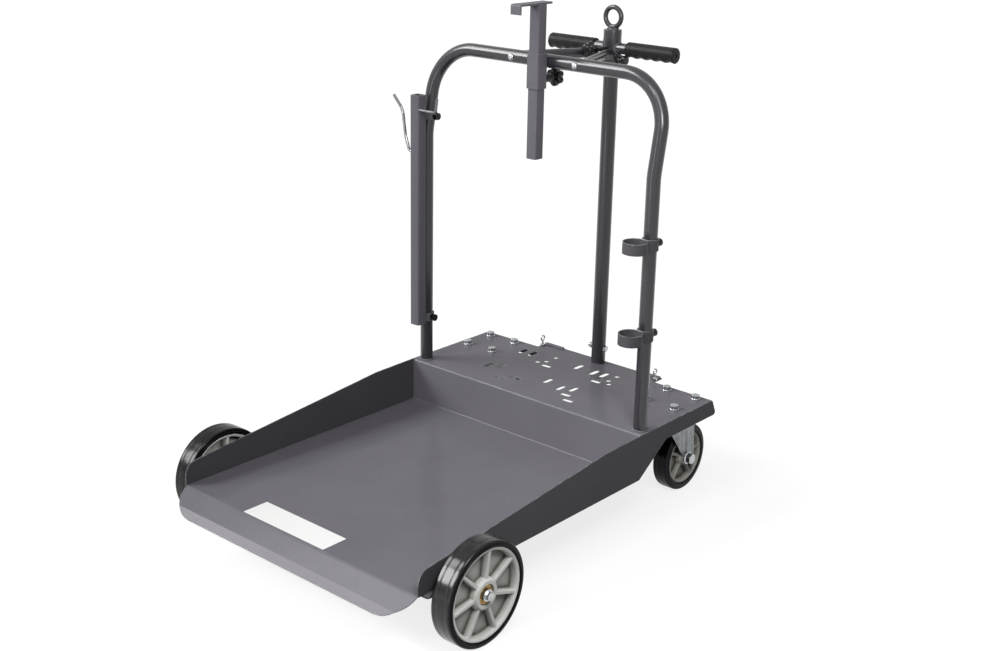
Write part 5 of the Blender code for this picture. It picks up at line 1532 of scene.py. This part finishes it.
@dataclass
class Brace(Assembly):
    """The two arms from the hoop's bar to the socket, and the star knob between them."""

    end_x: float = SOCKET_RADIUS + SEAT + ARM_THICKNESS / 2
    start_y: float = RISER_Y + 0.0709
    bend_y: float = RISER_Y + 0.224
    flat_y: float = RISER_Y + 0.240
    level_y: float = RISER_Y + 0.2605
    tip_y: float = RISER_Y + 0.287
    flat_height: float = 0.921
    radius: float = 0.0105
    end_height: float = 0.022
    taper: float = 0.030
    knob_neck: float = 0.010
    knob_gap: float = 0.040
    knob_tail: float = 0.0425

    def build(self) -> None:
        """Build both arms and the knob."""
        for side in Side:
            self.arm(side)
        place = (MAST_Y - SOCKET_RADIUS - self.knob_gap, HANDLE_HEIGHT)
        knob = StarKnob(self.finishes.black)
        knob.build("brace_knob", self.knob_neck, place, -1, self.knob_tail, "handle_knob")

    def arm(self, side: Side) -> None:
        """A tube pressed flat towards the socket.

        Half the thickness and half the height go from the tube's radius to those of the flat by a smooth
        step along Y, and the height falls as a half circle at the tip.

        Args:
            side: The side.
        """
        x = side.value * self.end_x
        corners = [(side.value * BRACE_X, self.start_y, BAR_TOP), (x, self.bend_y, self.flat_height),
                   (x, self.flat_y + 0.004, self.flat_height), (x, self.level_y, PIN_HEIGHT),
                   (x, self.tip_y, PIN_HEIGHT)]
        line = bent(corners, [0.016, 0.004, 0.004], 6)
        half = self.end_height / 2
        begin = line[1] + (line[0] - line[1]) / np.linalg.norm(line[0] - line[1]) * self.taper
        lead = begin + (line[1] - begin) * np.linspace(0.0, 1.0, 10)[:, None]
        ends = self.tip_y - half * (1 - np.sin(np.linspace(0.0, np.pi / 2 * 0.96, 14)))
        tip = np.stack([np.full(14, x), ends, np.full(14, PIN_HEIGHT)], axis=1)
        path = np.vstack([line[:1], lead, line[2:-1], tip])
        share = np.clip((path[:, 1] - begin[1]) / (self.flat_y - 0.008 - begin[1]), 0, 1)
        ease = share * share * (3 - 2 * share)
        thick = self.radius + (ARM_THICKNESS / 2 - self.radius) * ease
        high = self.radius + (half - self.radius) * ease
        short = np.clip(half - (self.tip_y - path[:, 1]), 0, half)
        high = np.where(short > 0, np.sqrt(np.maximum(half ** 2 - short ** 2, 1e-8)), high)
        angle = angles(40)
        cosine = np.sign(np.cos(angle)) * np.abs(np.cos(angle)) ** (1 - 0.55 * ease)[:, None]
        ahead = np.gradient(path, axis=0)
        ahead[0] = (0.0, 1.0, 0.0)
        across = np.stack([ahead[:, 1], -ahead[:, 0], np.zeros(len(path))], axis=1)
        across /= np.linalg.norm(across, axis=1, keepdims=True)
        points = (path[:, None] + (thick[:, None] * cosine)[..., None] * across[:, None]
                  + (high[:, None] * np.sin(angle))[..., None] * np.array([0.0, 0.0, 1.0]))
        add_piece(f"brace_tube_{side.label}", Patch.grid(points), self.finishes.tube,
                  replaces=f"brace_arm_{side.label}", crease=Crease.TUBE)


@dataclass
class DrumHook(Assembly):
    """The sliding square tube with its hook plate, the sleeve on the bar and the clamp knob."""

    y: float = RISER_Y + 0.027257
    sleeve: float = 0.030
    knob_height: float = 0.888
    knob_neck: float = 0.036
    knob_tail: float = 0.0020

    def build(self) -> None:
        """Dress the sleeve, tube and plate, and build the knob."""
        for name, body in (("hook_sleeve", FRAME), ("hook_tube", "drum_hook"), ("hook_plate", "drum_hook")):
            self.dress(name, self.finishes.paint, body)
        place = (self.y + self.sleeve / 2 + SEAT, self.knob_height)
        knob = StarKnob(self.finishes.black)
        knob.build("hook_clamp_knob", self.knob_neck, place, 1, self.knob_tail, "hook_knob")


@dataclass
class HolderPost(Assembly):
    """The square holder tube on the left leg, with collars, screws and two hooks."""

    x: float = -0.2965
    y: float = RISER_Y - 0.0065
    size: float = 0.025
    rod_y: float = RISER_Y - 0.0155
    rod_height: float = 0.794
    rod_bends: tuple[Point, ...] = ((0.0, 0.0), (0.047, 0.0), (0.051, 0.030))
    wire_height: float = 0.699
    wire_bends: tuple[Point, ...] = ((0.0, 0.0), (0.014, 0.0), (0.0255, 0.0325), (0.0327, 0.081),
                                     (0.0387, 0.093), (0.0605, 0.116))

    def build(self) -> None:
        """Dress the tube, collars and screws, and bend a painted rod inwards and a bright wire outwards."""
        self.dress("holder_tube", self.finishes.paint)
        for end in ("upper", "lower"):
            self.dress(f"holder_collar_{end}", self.finishes.paint, crease=Crease.SHEET)
            self.dress(f"holder_screw_{end}", self.finishes.black)
        root = self.size / 2 + SEAT
        corners = [(self.x + root + reach, self.rod_y, self.rod_height + rise)
                   for reach, rise in self.rod_bends]
        painted = sweep(bent(corners, [0.0085]), ring_of(0.0028, 20), (0.0, 1.0, 0.0))
        add_piece("hose_hook", painted, self.finishes.rod, replaces="rod_hook", crease=Crease.WIRE)
        corners = [(self.x - root - reach, self.y, self.wire_height + rise)
                   for reach, rise in self.wire_bends]
        bright = sweep(bent(corners, [0.010] * 4, 8), ring_of(0.0033), (0.0, 1.0, 0.0))
        add_piece("gun_hook", bright, self.finishes.wire, replaces="wire_hook", crease=Crease.WIRE)


@dataclass
class RingHolders(Assembly):
    """The two clamp rings on the right leg."""

    def build(self) -> None:
        """Dress both rings and their screws."""
        for end in ("upper", "lower"):
            self.dress(f"ring_holder_{end}", self.finishes.wall, f"ring_{end}", Crease.SHEET)
            self.dress(f"ring_screw_{end}", self.finishes.black, f"ring_{end}")


@dataclass
class ChainEyes(Assembly):
    """The two eye bolts at the deck's rear edge."""

    x: float = 0.160
    y: float = RISER_Y + 0.272
    height: float = DECK + 0.020
    ring: float = 0.0058
    wire: float = 0.0019
    nut_flats: float = 0.010
    nut_height: float = 0.005

    def build(self) -> None:
        """Build both eyes: a bent wire ring, a stem and a nut."""
        for side in Side:
            foot = (side.value * self.x, self.y, 0.0)
            path, upright = loop((foot[0], self.y, self.height), self.ring, Axis.X, 48)
            eye = sweep(path, ring_of(self.wire, 16), upright, closed=True)
            stem = rod(self.wire, DECK - 0.004, self.height - self.ring, Axis.Z, foot, 20)
            nut = hexagon(self.nut_flats, DECK + SEAT, DECK + SEAT + self.nut_height, Axis.Z, foot)
            add_piece(f"chain_ring_{side.label}", Patch.together(eye, stem, nut), self.finishes.zinc,
                      replaces=f"chain_eye_{side.label}", crease=Crease.HEXAGON)


@dataclass
class Studio:
    """A plain pale floor, soft lamps from the left, the front and above, and the photograph's camera."""

    azimuth: float = math.radians(40.70)
    elevation: float = math.radians(18.99)
    roll: float = math.radians(1.1655)
    place: Point = (1.7947, -1.9755, 1.3393)
    lens: float = 50.82
    sensor: float = 36.0
    surround: float = 0.08
    backdrop: float = 0.80
    floor_reach: float = 60.0
    clear_rays: tuple[str, ...] = ("Is Camera Ray", "Is Glossy Ray", "Is Transmission Ray")

    def build(self) -> None:
        """Make the floor, world, lamps and camera."""
        self.floor()
        self.world()
        self.sun("key", (-0.617, -0.30, 0.73), 0.5, 15.0)
        self.sun("side", (-0.617, -0.606, 0.502), 2.6, 27.0)
        self.sun("front", (-0.03, -0.74, 0.67), 0.6, 11.0)
        self.near_lamp("fill", (1.10, -0.60, 1.30), 11.0, (0.4, 0.4))
        self.near_lamp("over", (0.72, -0.50, 1.70), 6.0, (0.6, 0.6))
        self.near_lamp("strip", (-0.15, -2.50, 0.95), 11.0, (0.30, 1.9), (-0.15, 0.0, 0.75))
        self.camera()
        bpy.context.scene.view_settings.view_transform = "Standard"

    def floor(self) -> None:
        """A wide pale floor that keeps the trolley's shadow."""
        far = self.floor_reach
        mesh = bpy.data.meshes.new("floor")
        corners = [(-far, -far, 0.0), (far, -far, 0.0), (far, far, 0.0), (-far, far, 0.0)]
        mesh.from_pydata(corners, [], [(0, 1, 2, 3)])
        graph = Graph("pale_floor")
        camera, *others = graph.rays(self.clear_rays)
        seen = sum(others, camera).clamped()
        mesh.materials.append(graph.principled(
            Base_Color=graph.mix((0.09, 0.09, 0.09), (0.25, 0.25, 0.25), seen), Roughness=0.9,
            Emission_Color=graph.mix((0.0, 0.0, 0.0), (1.0, 1.0, 1.0), seen),
            Emission_Strength=self.backdrop))
        floor = bpy.data.objects.new("floor", mesh)
        bpy.context.scene.collection.objects.link(floor)

    def world(self) -> None:
        """A dim surround that camera, mirrors and glass see as a white backdrop."""
        graph = WorldGraph("studio")
        bpy.context.scene.world = graph.world
        camera, glossy, clear = graph.rays(self.clear_rays)
        mirrored = (glossy + clear).clamped()
        strength = self.surround + camera * (1.0 - self.surround) + mirrored * (self.backdrop - self.surround)
        background = graph.tree.nodes["Background"]
        background.inputs["Color"].default_value = (1.0, 1.0, 1.0, 1.0)
        graph.feed(background.inputs["Strength"], strength)

    @staticmethod
    def hang(light: bpy.types.Light, back: Point, place: Point = (0.0, 0.0, 0.0)) -> None:
        """Hang a lamp that the camera doesn't see, with its back to a direction.

        Args:
            light: The lamp's light.
            back: The direction.
            place: Where it hangs.
        """
        lamp = bpy.data.objects.new(light.name, light)
        lamp.visible_camera = False
        lamp.location = place
        lamp.rotation_euler = Vector(back).to_track_quat("Z", "Y").to_euler()
        bpy.context.scene.collection.objects.link(lamp)

    def sun(self, name: str, towards: Point, strength: float, spread: float) -> None:
        """A distant soft lamp.

        Args:
            name: The lamp's name.
            towards: The direction from the trolley to the lamp.
            strength: Its light, in watts to the square metre.
            spread: The lamp's angular size in degrees.
        """
        light = bpy.data.lights.new(name, "SUN")
        light.energy = strength
        light.angle = math.radians(spread)
        self.hang(light, towards)

    def near_lamp(self, name: str, place: Point, power: float, size: tuple[float, float],
                  aim: Point = (0.0, 0.0, 0.2)) -> None:
        """A rectangular lamp near the trolley.

        Args:
            name: The lamp's name.
            place: Where it stands.
            power: Its power in watts.
            size: The lengths of its level and its other sides.
            aim: The point that it faces.
        """
        light = bpy.data.lights.new(name, "AREA")
        light.energy = power
        light.shape = "RECTANGLE"
        light.size, light.size_y = size
        self.hang(light, Vector(place) - Vector(aim), place)

    def camera(self) -> None:
        """The photograph's camera: azimuth and elevation of the view, and a slight roll."""
        a, e, r = self.azimuth, self.elevation, self.roll
        back = Vector((math.sin(a) * math.cos(e), -math.cos(a) * math.cos(e), math.sin(e)))
        right = Vector((math.cos(a), math.sin(a), 0.0))
        up = back.cross(right)
        level_right = right * math.cos(r) + up * math.sin(r)
        level_up = up * math.cos(r) - right * math.sin(r)
        turn = Matrix((level_right, level_up, back)).transposed().to_4x4()
        data = bpy.data.cameras.new("camera")
        data.lens = self.lens
        data.sensor_width = self.sensor
        data.sensor_fit = "HORIZONTAL"
        data.clip_end = 200.0
        camera = bpy.data.objects.new("camera", data)
        camera.matrix_world = Matrix.Translation(self.place) @ turn
        bpy.context.scene.collection.objects.link(camera)
        bpy.context.scene.camera = camera


def main() -> None:
    """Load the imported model, dress it and set the studio."""
    logging.basicConfig(level=logging.INFO, format="%(name)s: %(message)s")
    for thing in list(bpy.data.objects):
        bpy.data.objects.remove(thing)
    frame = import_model()
    finishes = Finishes()
    for assembly in (Tray, FrontWheels, Casters, HoopFrame, HandleMast, Brace, DrumHook, HolderPost,
                     RingHolders, ChainEyes):
        assembly(finishes, frame["nodes"]).build()
    Studio().build()
    bpy.context.view_layer.update()


if __name__ == "__main__":
    main()
